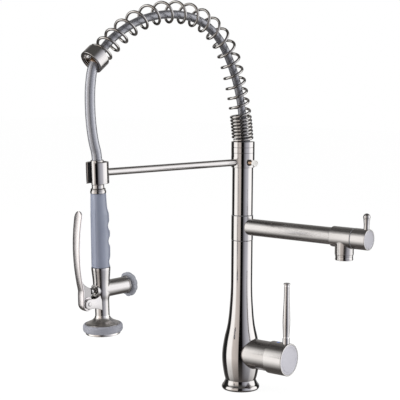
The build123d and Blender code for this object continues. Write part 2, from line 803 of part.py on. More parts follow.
with BuildPart() as spring_end_ring:
    with BuildSketch(end_side):
        with BuildLine():
            Polyline((end_ring_bore, 0), (collar_radius - edge, 0), (collar_radius, edge),
                     (collar_radius, end_ring_length - edge), (collar_radius - edge, end_ring_length),
                     (end_ring_mouth, end_ring_length), (end_ring_bore, end_ring_length - 6.0), close=True)
        make_face()
    revolve(axis=Axis(end_place, end_way))
    with BuildSketch(end_face):
        with Locations((end_local.X - stop_size / 2, end_local.Y)):
            Rectangle(stop_size, stop_size)
        Circle(collar_radius - edge, mode=Mode.INTERSECT)
    extrude(amount=-stop_height)
parts["spring_end_ring"] = spring_end_ring

# Hose inside the spring, its gland in the column and its coupling in the end ring

hose_foot = (0.0, guide_top)
hose_out, hose_up, hose_heading = chain_end(hose_foot, 0.0, hose_arcs)
hose_way = Vector(arm_cos * sin(radians(hose_heading)), arm_sin * sin(radians(hose_heading)),
                  cos(radians(hose_heading)))
hose_end = arm_side.from_local_coords(Vector(hose_out, hose_up, 0)) + hose_way * hose_stub

with BuildPart() as arch_hose:
    with BuildLine(arm_side) as hose_path:
        stretch = Line((0, hose_bottom), hose_foot)
        for length, turn in hose_arcs:
            stretch = JernArc(start=stretch @ 1, tangent=stretch % 1, radius=length / radians(turn),
                              arc_size=-turn)
        Line(stretch @ 1, stretch @ 1 + stretch % 1 * hose_stub)
    with BuildSketch(Plane.XY.offset(hose_bottom)):
        Circle(inner_hose)
    sweep(path=hose_path.line)
parts["arch_hose"] = arch_hose

parts["hose_gland"] = turned(((4.2, gland_bottom), (water_radius - running_gap, gland_bottom),
                              (water_radius - running_gap, hose_bottom + 12.0),
                              (inner_hose + seat_gap, hose_bottom + 12.0),
                              (inner_hose + seat_gap, hose_bottom), (4.2, hose_bottom)))

coupling_side = Plane(origin=hose_end, x_dir=hose_way.cross(sideways), z_dir=sideways)
coupling_half = 4.5

parts["hose_coupling"] = turned(((inner_hose + seat_gap, -coupling_half), (outer_hose + 1.5, -coupling_half),
                                 (outer_hose + 1.5, coupling_half), (outer_hose + seat_gap, coupling_half),
                                 (outer_hose + seat_gap, 0), (inner_hose + seat_gap, 0)),
                                coupling_side, Axis(hose_end, hose_way))

# Free hose from the end ring down into the hand spray

lead_point = arm_side.to_local_coords(hose_end + hose_way * hose_lead)
tail_point = arm_side.to_local_coords(dock + spray_up * hose_tail)
chord = tail_point - lead_point
bow_way = Vector(-chord.Y, chord.X, 0).normalized()
route = [arm_side.to_local_coords(hose_end), lead_point]
route += [lead_point + chord * share + bow_way * bow for share, bow in hose_bow]
route += [tail_point, arm_side.to_local_coords(dock + spray_up * hose_seat)]
route_runs = [(after - before).length for before, after in zip(route, route[1:])]
route_radii = []
for index in range(1, len(route) - 1):
    turn = (route[index] - route[index - 1]).get_angle(route[index + 1] - route[index])
    shorter = min(route_runs[index - 1], route_runs[index])
    route_radii.append(0.45 * shorter / tan(radians(turn / 2)))

with BuildPart() as spray_hose:
    with BuildLine(arm_side) as route_path:
        FilletPolyline(*[(point.X, point.Y) for point in route], radius=route_radii)
    with BuildSketch(Plane(origin=hose_end, x_dir=sideways, z_dir=hose_way)):
        Circle(outer_hose)
    sweep(path=route_path.line)
parts["spray_hose"] = spray_hose

# Arm's rod, C-shaped holder with its liner, and clamp screw

holder_face = arm_reach - holder_radius

with BuildPart() as arm_rod:
    with BuildSketch(rod_face.offset(rod_socket)):
        Circle(rod_radius)
    extrude(amount=holder_face + 2.4 - rod_socket)
parts["arm_rod"] = arm_rod

with BuildPart() as spray_holder:
    with BuildSketch(spray_level.offset(-holder_height / 2)):
        Circle(holder_radius)
        Circle(holder_bore, mode=Mode.SUBTRACT)
        with Locations((holder_radius, 0)):
            Rectangle(2 * holder_radius, holder_slot, mode=Mode.SUBTRACT)
    extrude(amount=holder_height)
    with BuildSketch(rod_face.offset(holder_face - 2.0)):
        Circle(rod_radius + seat_gap)
    extrude(amount=4.4, mode=Mode.SUBTRACT)
parts["spray_holder"] = spray_holder

with BuildPart() as holder_liner:
    with BuildSketch(spray_level.offset(-holder_height / 2 + 0.4)):
        Circle(holder_bore - seat_gap)
        Circle(ferrule_radius + running_gap, mode=Mode.SUBTRACT)
        with Locations((holder_radius, 0)):
            Rectangle(2 * holder_radius, holder_slot - 2.0, mode=Mode.SUBTRACT)
    extrude(amount=holder_height - 0.8)
parts["holder_liner"] = holder_liner

with BuildPart() as clamp_screw:
    with BuildSketch(screw_face.offset(spigot_radius + body_gap)):
        Circle(screw_radius)
    extrude(amount=knob_start + 2.0 - spigot_radius - body_gap)
parts["clamp_screw"] = clamp_screw

with BuildPart() as clamp_knob:
    with BuildSketch(screw_face.offset(knob_start)):
        Circle(knob_radius)
    extrude(amount=knob_end - knob_start)
    fillet(clamp_knob.edges().filter_by(GeomType.CIRCLE), radius=1.2)
    with BuildSketch(screw_face.offset(knob_start)):
        Circle(screw_radius + seat_gap)
    extrude(amount=2.0, mode=Mode.SUBTRACT)
parts["clamp_knob"] = clamp_knob

# Hand spray: ferrule, core tube, collar and grip

parts["spray_ferrule"] = turned(((outer_hose + seat_gap, ferrule_top), (ferrule_radius - 0.8, ferrule_top),
                                 (ferrule_radius, ferrule_top - 0.8), (ferrule_radius, spray_waist + 4.0),
                                 (spray_neck, spray_waist + 4.0), (spray_neck, spray_waist),
                                 (spray_bore, spray_waist), (spray_bore, hose_seat),
                                 (outer_hose + seat_gap, hose_seat)), spray_side, spray_axis)

parts["core_tube"] = turned(((spray_bore, spray_waist), (core_tube, spray_waist),
                             (core_tube, core_tube_bottom), (spray_bore, core_tube_bottom)),
                            spray_side, spray_axis)

parts["spray_collar"] = turned(((core_tube + seat_gap, spray_waist), (spray_neck + 0.8, spray_waist),
                                (flare_radius - 0.4, spray_waist - 2.2), (flare_radius, spray_waist - 4.0),
                                (flare_radius, grip_top + 0.6), (flare_radius - 0.6, grip_top),
                                (core_tube + seat_gap, grip_top)), spray_side, spray_axis)

with BuildPart() as spray_grip:
    with BuildSketch(spray_side):
        with BuildLine():
            Polyline((core_tube + seat_gap, grip_top), (grip_top_radius - 0.6, grip_top),
                     (grip_top_radius, grip_top - 1.0), (grip_top_radius + 1.0, grip_top - 31.0),
                     (grip_bottom_radius, grip_bottom + 1.0), (grip_bottom_radius - 0.8, grip_bottom),
                     (core_tube + seat_gap, grip_bottom), close=True)
        make_face()
    revolve(axis=spray_axis)
    with BuildSketch(spray_side):
        with BuildLine():
            Polyline((-palm_offset, grip_top - 17.0), (-palm_offset - 9.0, grip_top - 17.0),
                     (-palm_offset - 12.1, grip_top - 30.0), (-palm_offset - 12.8, grip_top - 57.0),
                     (-palm_offset - 12.2, grip_bottom + 18.0), (-palm_offset - 11.3, grip_bottom),
                     (-palm_offset, grip_bottom), close=True)
        make_face()
    revolve(axis=Axis(dock - spray_out * palm_offset, spray_up))
    for rise in notch_rises:
        with BuildSketch(spray_side):
            with Locations((-notch_depth - notch_radius, grip_bottom + rise)):
                Circle(notch_radius)
        revolve(axis=Axis(dock + spray_out * palm_offset, spray_up), mode=Mode.SUBTRACT)
    with BuildSketch(spray_side):
        with BuildLine():
            Polyline((10.3, grip_top - 5.0), (16.0, grip_top - 5.0), (16.0, grip_bottom + 5.0),
                     (12.5, grip_bottom + 5.0), close=True)
        make_face()
    extrude(amount=grip_bottom_radius, both=True, mode=Mode.SUBTRACT)
    with BuildSketch(spray_level.offset(grip_top)):
        Circle(core_tube + seat_gap)
    extrude(amount=grip_bottom - grip_top, mode=Mode.SUBTRACT)
parts["spray_grip"] = spray_grip

# Hand spray: valve body with its branch, plunger boss and two pivot ears

with BuildPart() as spray_body:
    with BuildSketch(spray_side):
        with BuildLine():
            Polyline((0, grip_bottom), (body_shoulder, grip_bottom), (body_shoulder, grip_bottom - 3.0),
                     (body_waist, grip_bottom - 21.0), (body_waist, valve_line - 8.0),
                     (neck_radius, valve_line - 14.0), (neck_radius, neck_bottom), (0, neck_bottom),
                     close=True)
        make_face()
    revolve(axis=spray_axis)
    with BuildSketch(cross_face.offset(-branch_end)):
        Circle(branch_radius)
    extrude(amount=branch_end)
    with BuildSketch(cross_face):
        Circle(boss_radius)
    extrude(amount=boss_end)
    with BuildSketch(spray_side):
        with BuildLine():
            arch = ThreePointArc((4.0, valve_line - 5.0), (16.0, pivot_up + 5.6),
                                 (pivot_out, pivot_up + ear_radius))
            tip = ThreePointArc(arch @ 1, (pivot_out + ear_radius, pivot_up),
                                (pivot_out, pivot_up - ear_radius))
            Polyline(tip @ 1, (4.0, pivot_up - 12.0), (4.0, valve_line - 5.0))
        make_face()
    extrude(amount=ear_outside, both=True)
    with BuildSketch(spray_side):
        with Locations((boss_end, pivot_up)):
            Rectangle(pivot_out, 5 * ear_radius, align=(Align.MIN, Align.CENTER))
    extrude(amount=ear_inside, both=True, mode=Mode.SUBTRACT)
    with BuildSketch(spray_side):
        with Locations((pivot_out, pivot_up)):
            Circle(pivot_radius + seat_gap)
    extrude(amount=ear_outside, both=True, mode=Mode.SUBTRACT)
    with BuildSketch(spray_side):
        with BuildLine():
            Polyline((0, grip_bottom), (core_tube + seat_gap, grip_bottom),
                     (core_tube + seat_gap, core_tube_bottom), (spray_bore, core_tube_bottom),
                     (spray_bore, neck_bottom), (0, neck_bottom), close=True)
        make_face()
    revolve(axis=spray_axis, mode=Mode.SUBTRACT)
    with BuildSketch(cross_face.offset(-branch_end)):
        Circle(flow_spindle + running_gap)
    extrude(amount=branch_end, mode=Mode.SUBTRACT)
    with BuildSketch(cross_face):
        Circle(plunger_radius + running_gap)
    extrude(amount=boss_end + 1.0, mode=Mode.SUBTRACT)
parts["spray_body"] = spray_body

# Plunger, its nut, the pivot pin and the trigger

with BuildPart() as packing_nut:
    with BuildSketch(cross_face.offset(boss_end)):
        RegularPolygon(nut_radius, 6)
        Circle(plunger_radius + running_gap, mode=Mode.SUBTRACT)
    extrude(amount=nut_end - boss_end)
parts["packing_nut"] = packing_nut

with BuildPart() as valve_plunger:
    with BuildSketch(cross_face.offset(spray_bore)):
        Circle(plunger_radius)
    extrude(amount=plunger_neck - spray_bore)
    with BuildSketch(cross_face.offset(plunger_neck)):
        Circle(plunger_head)
    extrude(amount=plunger_face - plunger_neck)
    with BuildSketch(cross_face.offset(plunger_face - 1.0)):
        Rectangle(2 * plunger_head, 1.2)
    extrude(amount=2.0, mode=Mode.SUBTRACT)
parts["valve_plunger"] = valve_plunger

pivot_face = spray_side.offset(-ear_outside - 1.0)

with BuildPart() as pivot_pin:
    with BuildSketch(pivot_face):
        with Locations((pivot_out, pivot_up)):
            Circle(pivot_radius + 1.1)
    extrude(amount=1.0)
    with BuildSketch(pivot_face):
        with Locations((pivot_out, pivot_up)):
            Circle(pivot_radius)
    extrude(amount=2 * ear_outside + 1.6)
parts["pivot_pin"] = pivot_pin

blade_face = Plane(origin=dock, x_dir=-sideways, z_dir=spray_out)
blade_points = [(pivot_out + out, pivot_up + up) for out, up in (blade_foot, blade_middle, blade_tip)]
blade_end = blade_points[2][1]
half = blade_thickness / 2

with BuildPart() as trigger_blade:
    with BuildSketch(spray_side):
        with BuildLine():
            inside = ThreePointArc(*[(out - half, up) for out, up in blade_points])
            outside = ThreePointArc(*[(out + half, up) for out, up in blade_points])
            Line(inside @ 0, outside @ 0)
            Line(inside @ 1, outside @ 1)
        make_face()
    extrude(amount=blade_half_top, both=True)
    with BuildSketch(blade_face):
        with BuildLine():
            foot_up = blade_points[0][1] - 1.0
            ThreePointArc((-blade_half_top, blade_end - blade_half_top), (0, blade_end),
                          (blade_half_top, blade_end - blade_half_top))
            Polyline((blade_half_top, blade_end - blade_half_top), (blade_half_foot, foot_up + 26.0),
                     (blade_half_foot, foot_up), (-blade_half_foot, foot_up),
                     (-blade_half_foot, foot_up + 26.0), (-blade_half_top, blade_end - blade_half_top))
        make_face()
    extrude(amount=blade_points[1][0] + blade_thickness, mode=Mode.INTERSECT)

with BuildPart() as trigger_lever:
    with BuildSketch(spray_side):
        with Locations((pivot_out, pivot_up)):
            Circle(trigger_hub)
    extrude(amount=trigger_hub_half, both=True)
    with BuildSketch(spray_side):
        with BuildLine():
            ThreePointArc((trigger_nose + 1.2, valve_line + 5.0), (trigger_nose, valve_line),
                          (trigger_nose + 0.9, valve_line - 5.6))
            Polyline((trigger_nose + 0.9, valve_line - 5.6), (pivot_out - 7.9, pivot_up + 4.2),
                     (pivot_out, pivot_up), (pivot_out + 8.9, pivot_up + 3.2),
                     (pivot_out + 9.7, pivot_up + 19.2), (pivot_out + 12.4, pivot_up + 34.2),
                     (pivot_out + 13.1, pivot_up + 42.2), (pivot_out + 11.9, pivot_up + 42.2))
            Spline((pivot_out + 11.9, pivot_up + 42.2), (pivot_out + 8.9, pivot_up + 34.2),
                   (pivot_out + 3.5, pivot_up + 26.8), (trigger_nose + 1.2, valve_line + 5.0))
        make_face()
    extrude(amount=trigger_web_half, both=True)
    add(trigger_blade.part)
    with BuildSketch(spray_side):
        with Locations((pivot_out, pivot_up)):
            Circle(pivot_radius + running_gap)
    extrude(amount=blade_half_top, both=True, mode=Mode.SUBTRACT)
parts["trigger_lever"] = trigger_lever

# Flow knob on the branch

lobe_radius = 3.4
knob_back = branch_end + body_gap

with BuildPart() as flow_knob:
    with BuildSketch(spray_side):
        with BuildLine():
            Polyline((-knob_back, valve_line), (-knob_back, valve_line + flow_knob_radius),
                     (-knob_back - 4.0, valve_line + flow_knob_radius),
                     (-flow_knob_end, valve_line + flow_knob_face), (-flow_knob_end, valve_line), close=True)
        make_face()
    revolve(axis=cross_axis)
    with BuildSketch(cross_face.offset(-flow_knob_end)):
        with PolarLocations(flow_knob_radius + lobe_radius - 1.1, flow_knob_lobes):
            Circle(lobe_radius)
    extrude(amount=flow_knob_end, mode=Mode.SUBTRACT)
    with BuildSketch(cross_face.offset(-branch_end)):
        Circle(flow_spindle + seat_gap)
    extrude(amount=-spindle_depth, mode=Mode.SUBTRACT)
parts["flow_knob"] = flow_knob

with BuildPart() as knob_spindle:
    with BuildSketch(cross_face.offset(-branch_end - spindle_depth)):
        Circle(flow_spindle)
    extrude(amount=spindle_depth + 20.0)
parts["knob_spindle"] = knob_spindle

# Hand spray: bell, bumper ring and nozzle face

with BuildPart() as spray_bell:
    with BuildSketch(spray_side):
        with BuildLine():
            Polyline((spray_bore, neck_bottom), (neck_radius, neck_bottom),
                     (neck_radius + 5.0, neck_bottom - 1.2), (bell_radius - 3.0, neck_bottom - 4.2),
                     (bell_radius, bell_shoulder), (bell_radius, spray_bottom + 1.0),
                     (bell_radius - 0.8, spray_bottom), (face_radius + 0.8, spray_bottom),
                     (face_radius + seat_gap, face_bottom), (face_radius + seat_gap, face_top + 4.5),
                     (spray_bore, neck_bottom - 4.7), close=True)
        make_face()
    revolve(axis=spray_axis)
parts["spray_bell"] = spray_bell

parts["bumper_ring"] = turned(((bell_radius + seat_gap, bell_shoulder),
                               (bumper_radius - 2.0, bell_shoulder), (bumper_radius, bell_shoulder - 2.4),
                               (bumper_radius, bumper_bottom + 2.4), (bumper_radius - 1.6, bumper_bottom),
                               (bell_radius + seat_gap, bumper_bottom)), spray_side, spray_axis)

with BuildPart() as spray_face:
    with BuildSketch(spray_level.offset(face_bottom)):
        Circle(face_radius)
        with PolarLocations(16.0, 12):
            RegularPolygon(1.2, 4, mode=Mode.SUBTRACT)
        with PolarLocations(8.0, 6):
            RegularPolygon(1.2, 4, mode=Mode.SUBTRACT)
    extrude(amount=face_top - face_bottom)
parts["spray_face"] = spray_face

for name, piece in parts.items():
    piece.part.label = name
    export_step(piece.part, "parts/" + name + ".step")

# What the free hose and the spring measure

samples = []
steps_per_turn = 24
for step in range(round(coil_turns * steps_per_turn) + 1):
    samples.append(coil_point(step / steps_per_turn))
least = min((samples[first] - samples[second]).length
            for first in range(len(samples))
            for second in range(first + steps_per_turn // 2, len(samples)))
hose_length = sum(run.length for run in route_path.line.edges())
section = pi * outer_hose ** 2
print("parts", len(parts))
print("spring turns", coil_turns, "least gap between turns", round(least - wire_diameter, 2))
print("spring end", round(end_out, 1), round(end_up, 1), "heading", round(end_heading, 1))
print("hose end", round(hose_out, 1), round(hose_up, 1), "heading", round(hose_heading, 1))
print("free hose radii", [round(radius, 1) for radius in route_radii])
print("free hose runs", [round(run, 1) for run in route_runs])
print("free hose volume", round(spray_hose.part.volume), "section by length", round(section * hose_length))
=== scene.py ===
from math import cos, pi, radians, sin

import bpy
import numpy as np
from mathutils import Matrix, Vector


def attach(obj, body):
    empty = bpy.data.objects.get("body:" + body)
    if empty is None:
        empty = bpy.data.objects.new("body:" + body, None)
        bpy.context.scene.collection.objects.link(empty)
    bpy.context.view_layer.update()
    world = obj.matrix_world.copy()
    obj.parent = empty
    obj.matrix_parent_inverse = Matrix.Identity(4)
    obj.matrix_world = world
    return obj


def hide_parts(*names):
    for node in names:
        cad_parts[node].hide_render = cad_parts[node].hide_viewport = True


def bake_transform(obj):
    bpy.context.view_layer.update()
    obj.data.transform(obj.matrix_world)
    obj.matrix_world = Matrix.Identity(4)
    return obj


# A pull-out kitchen faucet in brushed nickel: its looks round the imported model.
# Metres in Blender, millimetres in the dictionaries; +X is the spout's and the valve's side, +Z is up, and the
# deck is z = 0. An outline's corner is (distance from the axis, place along it, bevel of the corner).

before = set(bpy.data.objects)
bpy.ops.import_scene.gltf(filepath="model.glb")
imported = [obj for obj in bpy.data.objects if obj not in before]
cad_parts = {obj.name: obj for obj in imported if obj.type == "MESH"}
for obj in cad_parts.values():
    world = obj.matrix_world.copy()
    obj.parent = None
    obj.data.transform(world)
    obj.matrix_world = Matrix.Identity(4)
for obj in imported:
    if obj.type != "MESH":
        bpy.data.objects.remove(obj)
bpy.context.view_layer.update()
mm = 0.001

# Camera: front right of the faucet, looking slightly down

view = {"turn": 37.4, "pitch": 6.8, "roll": 0.35, "focalPixels": 1233.2, "imagePixels": 400.0,
        "sensorWidth": 36.0, "place": (1.1127, -1.5648, 0.530)}
cameraTurn, cameraPitch, cameraRoll = (radians(view[part]) for part in ("turn", "pitch", "roll"))
forward = Vector((-sin(cameraTurn) * cos(cameraPitch), cos(cameraTurn) * cos(cameraPitch), -sin(cameraPitch)))
level = Vector((cos(cameraTurn), sin(cameraTurn), 0))
upright = level.cross(forward)
right = level * cos(cameraRoll) + upright * sin(cameraRoll)
up = upright * cos(cameraRoll) - level * sin(cameraRoll)

camera = bpy.data.objects.new("camera", bpy.data.cameras.new("camera"))
camera.data.sensor_width = view["sensorWidth"]
camera.data.lens = view["focalPixels"] / view["imagePixels"] * view["sensorWidth"]
camera.matrix_world = Matrix((right, up, -forward)).transposed().to_4x4()
camera.location = view["place"]
bpy.context.scene.collection.objects.link(camera)
bpy.context.scene.camera = camera
print("camera set")

# Directions of the arm and of the hand spray, which leans a little to the column, and the axes of turned pieces

places = {"valve": 59.5, "spout": 260.3, "arm": 361.5, "armReach": 282.5, "armTurn": 259.0, "sprayLean": 2.2}
armTurn, sprayLean = radians(places["armTurn"]), radians(places["sprayLean"])
alongX, alongY, straightUp = np.eye(3)
armAlong = np.array([cos(armTurn), sin(armTurn), 0])
armAside = np.array([sin(armTurn), -cos(armTurn), 0])
sprayOut = armAlong * cos(sprayLean) - straightUp * sin(sprayLean)
sprayUp = armAlong * sin(sprayLean) + straightUp * cos(sprayLean)


def armPoint(out, height):
    # Place in the arm's upright plane: distance out along the arm times its direction, plus height times up.
    return (out * armAlong + height * straightUp) * mm


dock = armPoint(places["armReach"], places["arm"])


def inSpray(spots):
    # Places from (distance out, distance aside, height) in the hand spray: the dock plus each times its direction.
    return dock + np.asarray(spots) @ np.array([sprayOut, armAside, sprayUp]) * mm


def sprayPoint(out, height):
    # Place in the spray's middle plane, from its distance out and its height.
    return inSpray([out, 0.0, height])


onColumn = (0 * straightUp, straightUp, alongX)
onValve, onSpout = ((places[part] * mm * straightUp, alongX, alongY) for part in ("valve", "spout"))
onSpray = (dock, sprayUp, sprayOut)


# Node groups that the materials share

def addNode(tree, kind, inputs, output=0, **settings):
    # A shader node with settings, and inputs that are sockets or plain values; gives one of its outputs.
    node = tree.nodes.new("ShaderNode" + kind)
    for setting, value in settings.items():
        setattr(node, setting, value)
    for key, value in inputs.items():
        if isinstance(value, bpy.types.NodeSocket):
            tree.links.new(value, node.inputs[key])
        else:
            node.inputs[key].default_value = value
    return node.outputs[output]


def mathNode(tree, operation, *values):
    # A math operation on sockets or plain numbers.
    return addNode(tree, "Math", dict(enumerate(values)), operation=operation)


def product(tree, first, second):
    # One factor times another.
    return mathNode(tree, "MULTIPLY", first, second)


def noiseNode(tree, vector, scale, detail=3.0, roughness=0.5):
    # Noise read at a vector.
    return addNode(tree, "TexNoise", {"Vector": vector, "Scale": scale, "Detail": detail, "Roughness": roughness},
                   "Fac")


def ranged(tree, factor, low, high, start=0.0, end=1.0):
    # A factor between start and end carried to a range from low to high.
    return addNode(tree, "MapRange", {"Value": factor, "From Min": start, "From Max": end, "To Min": low,
                                      "To Max": high}, "Result")


def makeGroup(name, inputs, outputs):
    # A node group whose inputs are numbers or else vectors and whose outputs are numbers; gives its tree, what
    # comes in and what goes out.
    tree = bpy.data.node_groups.new(name, "ShaderNodeTree")
    for socketName, value in inputs.items():
        kind = "NodeSocketFloat" if isinstance(value, float) else "NodeSocketVector"
        socket = tree.interface.new_socket(socketName, in_out="INPUT", socket_type=kind)
        if value is not None:
            socket.default_value = value
    for socketName in outputs:
        tree.interface.new_socket(socketName, in_out="OUTPUT", socket_type="NodeSocketFloat")
    return tree, tree.nodes.new("NodeGroupInput").outputs, tree.nodes.new("NodeGroupOutput").inputs


def brushedGroup():
    # Fine streaks drawn out along one direction: noise at a stretched vector, in two finenesses that are added,
    # and slow clouds apart.
    tree, given, result = makeGroup("brushedStreaks", {"Vector": None, "Stretch": (1, 1, 1), "Fineness": 900.0},
                                    ("Streak", "Cloud"))
    drawn = addNode(tree, "VectorMath", {0: given["Vector"], 1: given["Stretch"]}, operation="MULTIPLY")
    fine = noiseNode(tree, drawn, given["Fineness"], 4.0, 0.6)
    broad = noiseNode(tree, drawn, product(tree, given["Fineness"], 0.21), 2.0)
    both = mathNode(tree, "ADD", product(tree, fine, 0.82), product(tree, broad, 0.18))
    tree.links.new(both, result["Streak"])
    tree.links.new(noiseNode(tree, given["Vector"], 28.0, 2.0), result["Cloud"])
    return tree


def edgeHighlightGroup():
    # Mask of the convex edges for a painted highlight, in patches: how far a surface point stands out, times spots.
    tree, given, result = makeGroup("paintedEdgeHighlight", {"Vector": None, "Reach": 9.0}, ("Edge",))
    shape = addNode(tree, "NewGeometry", {}, "Pointiness")
    raised = product(tree, mathNode(tree, "SUBTRACT", shape, 0.53), given["Reach"])
    spots = mathNode(tree, "ADD", noiseNode(tree, given["Vector"], 420.0, 3.0), 0.35)
    edgeShine = mathNode(tree, "MAXIMUM", product(tree, raised, spots), 0.0)
    tree.links.new(mathNode(tree, "MINIMUM", edgeShine, 1.0), result["Edge"])
    return tree


def braidGroup():
    # Strands that cross round a hose: the larger of two sine waves that run up to the left and up to the right.
    tree, given, result = makeGroup("braidedStrands", {"UV": None, "Around": 12.0, "Along": 260.0},
                                    ("Height", "Over"))
    split = addNode(tree, "SeparateXYZ", {0: given["UV"]}).node.outputs
    turns, travel = product(tree, split[0], given["Around"]), product(tree, split[1], given["Along"])
    waves = []
    for operation in ("ADD", "SUBTRACT"):
        phase = product(tree, mathNode(tree, operation, turns, travel), pi)
        waves.append(mathNode(tree, "ABSOLUTE", mathNode(tree, "SINE", phase)))
    tree.links.new(mathNode(tree, "MAXIMUM", *waves), result["Height"])
    tree.links.new(mathNode(tree, "GREATER_THAN", *waves), result["Over"])
    return tree


def grainGroup():
    # Moulded grain: fine noise, broad mottling, and specks of dust where a third noise is high.
    tree, given, result = makeGroup("fineGrain", {"Vector": None, "Fineness": 1400.0}, ("Grain", "Mottle", "Dust"))
    tree.links.new(noiseNode(tree, given["Vector"], given["Fineness"], 4.0, 0.65), result["Grain"])
    tree.links.new(noiseNode(tree, given["Vector"], 60.0, 3.0), result["Mottle"])
    specks = noiseNode(tree, given["Vector"], 520.0, 2.0)
    tree.links.new(mathNode(tree, "GREATER_THAN", specks, 0.69), result["Dust"])
    return tree


brushedStreaks, paintedEdgeHighlight, braidedStrands, fineGrain = brushedGroup(), edgeHighlightGroup(), braidGroup(), grainGroup()


# Materials

def startMaterial(name, **settings):
    # A material with a principled shader whose plain settings are on its own sockets.
    material = bpy.data.materials.new(name)
    material.use_nodes = True
    shader = material.node_tree.nodes["Principled BSDF"]
    for socketName, value in settings.items():
        shader.inputs[socketName.replace("_", " ")].default_value = value
    return material.node_tree, shader


def useGroup(tree, group, vector, **values):
    # What a shared group makes of a vector.
    return addNode(tree, "Group", {0: vector, **values}, node_tree=group).node.outputs


def blendColours(tree, factor, *colours):
    # Colour between two colours, plain or from sockets, by a factor.
    low, high = (colour if isinstance(colour, bpy.types.NodeSocket) else (*colour, 1.0) for colour in colours)
    return addNode(tree, "Mix", {0: factor, 6: low, 7: high}, 2, data_type="RGBA")


def finishMaterial(tree, shader, colour, roughness, height, strength, distance):
    # Leads colour, roughness and a bump, whose distance is in metres, to the shader.
    bump = addNode(tree, "Bump", {"Strength": strength, "Distance": distance, "Height": height})
    for socketName, socket in (("Base Color", colour), ("Roughness", roughness), ("Normal", bump)):
        tree.links.new(socket, shader.inputs[socketName])


def metalMaterial(name, low, high, edge, rough, stretch, fineness=900.0, bump=0.05, turn=0.0):
    # Brushed metal: streaks move its colour and roughness a little, and its convex edges get a painted highlight in a
    # lighter colour.
    # Its pattern is turned about the upright axis where a piece points elsewhere.
    tree, shader = startMaterial(name, Metallic=1.0)
    place = addNode(tree, "TexCoord", {}, "Object")
    if turn:
        place = addNode(tree, "Mapping", {"Vector": place, "Rotation": (0, 0, -turn)})
    streaks = useGroup(tree, brushedStreaks, place, Stretch=stretch, Fineness=fineness)
    mixed = mathNode(tree, "ADD", product(tree, streaks["Streak"], 0.6), product(tree, streaks["Cloud"], 0.4))
    colour = blendColours(tree, ranged(tree, mixed, 0.0, 1.0, 0.3, 0.7), low, high)
    # Painted highlight: the colour goes towards the lighter edge colour on convex edges.
    colour = blendColours(tree, useGroup(tree, paintedEdgeHighlight, place)["Edge"], colour, edge)
    roughness = ranged(tree, streaks["Streak"], rough * 0.75, rough * 1.25, 0.3, 0.7)
    finishMaterial(tree, shader, colour, roughness, streaks["Streak"], bump, 0.00008)


def mouldedMaterial(name, low, high, rough, fineness=1400.0, bump=0.15, **settings):
    # Moulded plastic or rubber: fine grain, mottled colour and specks of dust.
    tree, shader = startMaterial(name, **settings)
    grain = useGroup(tree, fineGrain, addNode(tree, "TexCoord", {}, "Object"), Fineness=fineness)
    colour = blendColours(tree, grain["Mottle"], low, high)
    colour = blendColours(tree, product(tree, grain["Dust"], 0.12), colour, (0.62, 0.62, 0.62))
    roughness = ranged(tree, grain["Grain"], rough - 0.06, rough + 0.08)
    finishMaterial(tree, shader, colour, roughness, grain["Grain"], bump, 0.0001)


def braidMaterial(name, low, high, rough, metal, around, bump, **settings):
    # Braid on a hose: crossing strands in height, tone and roughness, under a clear coat.
    tree, shader = startMaterial(name, Metallic=metal, **settings)
    place = addNode(tree, "TexCoord", {}, "Object")
    braid = useGroup(tree, braidedStrands, place.node.outputs["UV"], Around=around, Along=780.0)
    grain = useGroup(tree, fineGrain, place, Fineness=2400.0)["Grain"]
    tone = product(tree, braid["Height"], ranged(tree, grain, 0.75, 1.15))
    colour = blendColours(tree, product(tree, tone, ranged(tree, braid["Over"], 0.88, 1.0)), low, high)
    roughness = ranged(tree, grain, rough - 0.06, rough + 0.1)
    finishMaterial(tree, shader, colour, roughness, braid["Height"], bump, 0.0003)


# Nickel's two colours and the lighter colour of its painted edge highlight.
nickel = ((0.43, 0.415, 0.405), (0.52, 0.505, 0.495), (0.8, 0.79, 0.78))
brushed = {"up": (1.0, 1.0, 0.02), "out": (0.02, 1.0, 1.0), "even": (1.0, 1.0, 1.0)}

# Metals: colours, colour of the painted edge highlight, roughness, the brushing's direction, its fineness and its
# bump
metals = {
    "columnNickel": (*nickel, 0.075, brushed["up"]),
    "spoutNickel": (*nickel, 0.23, brushed["out"], 900.0, 0.02),
    "rodNickel": (*nickel, 0.17, brushed["out"], 900.0, 0.05, armTurn),
    "castNickel": (*nickel, 0.19, brushed["even"], 1600.0, 0.08),
    "wireNickel": ((0.35, 0.335, 0.32), (0.45, 0.435, 0.42), nickel[2], 0.11, brushed["even"], 2200.0, 0.06),
    "bladeNickel": ((0.58, 0.55, 0.55), (0.65, 0.62, 0.62), (0.8, 0.78, 0.78), 0.26, brushed["up"], 1400.0, 0.02),
    # The web's nickel is darkened: painted shade in the hollow between the blade and the hub.
    "webNickel": ((0.25, 0.242, 0.242), (0.31, 0.3, 0.3), (0.5, 0.49, 0.49), 0.26, brushed["up"], 1400.0, 0.02),
    # The bell's nickel is lighter than the rest: a painted reflection of bright light on the dome.
    "bellNickel": ((0.68, 0.655, 0.63), (0.76, 0.735, 0.71), (0.85, 0.84, 0.83), 0.3, brushed["even"], 1600.0,
                   0.03),
    "discSatin": ((0.37, 0.365, 0.395), (0.42, 0.415, 0.445), (0.6, 0.6, 0.62), 0.3, brushed["even"], 2600.0, 0.12),
    "warmBrass": ((0.5, 0.36, 0.25), (0.62, 0.46, 0.33), (0.85, 0.7, 0.5), 0.27, brushed["even"]),
    "darkSteel": ((0.24, 0.23, 0.22), (0.34, 0.33, 0.32), (0.6, 0.6, 0.6), 0.3, brushed["even"])}
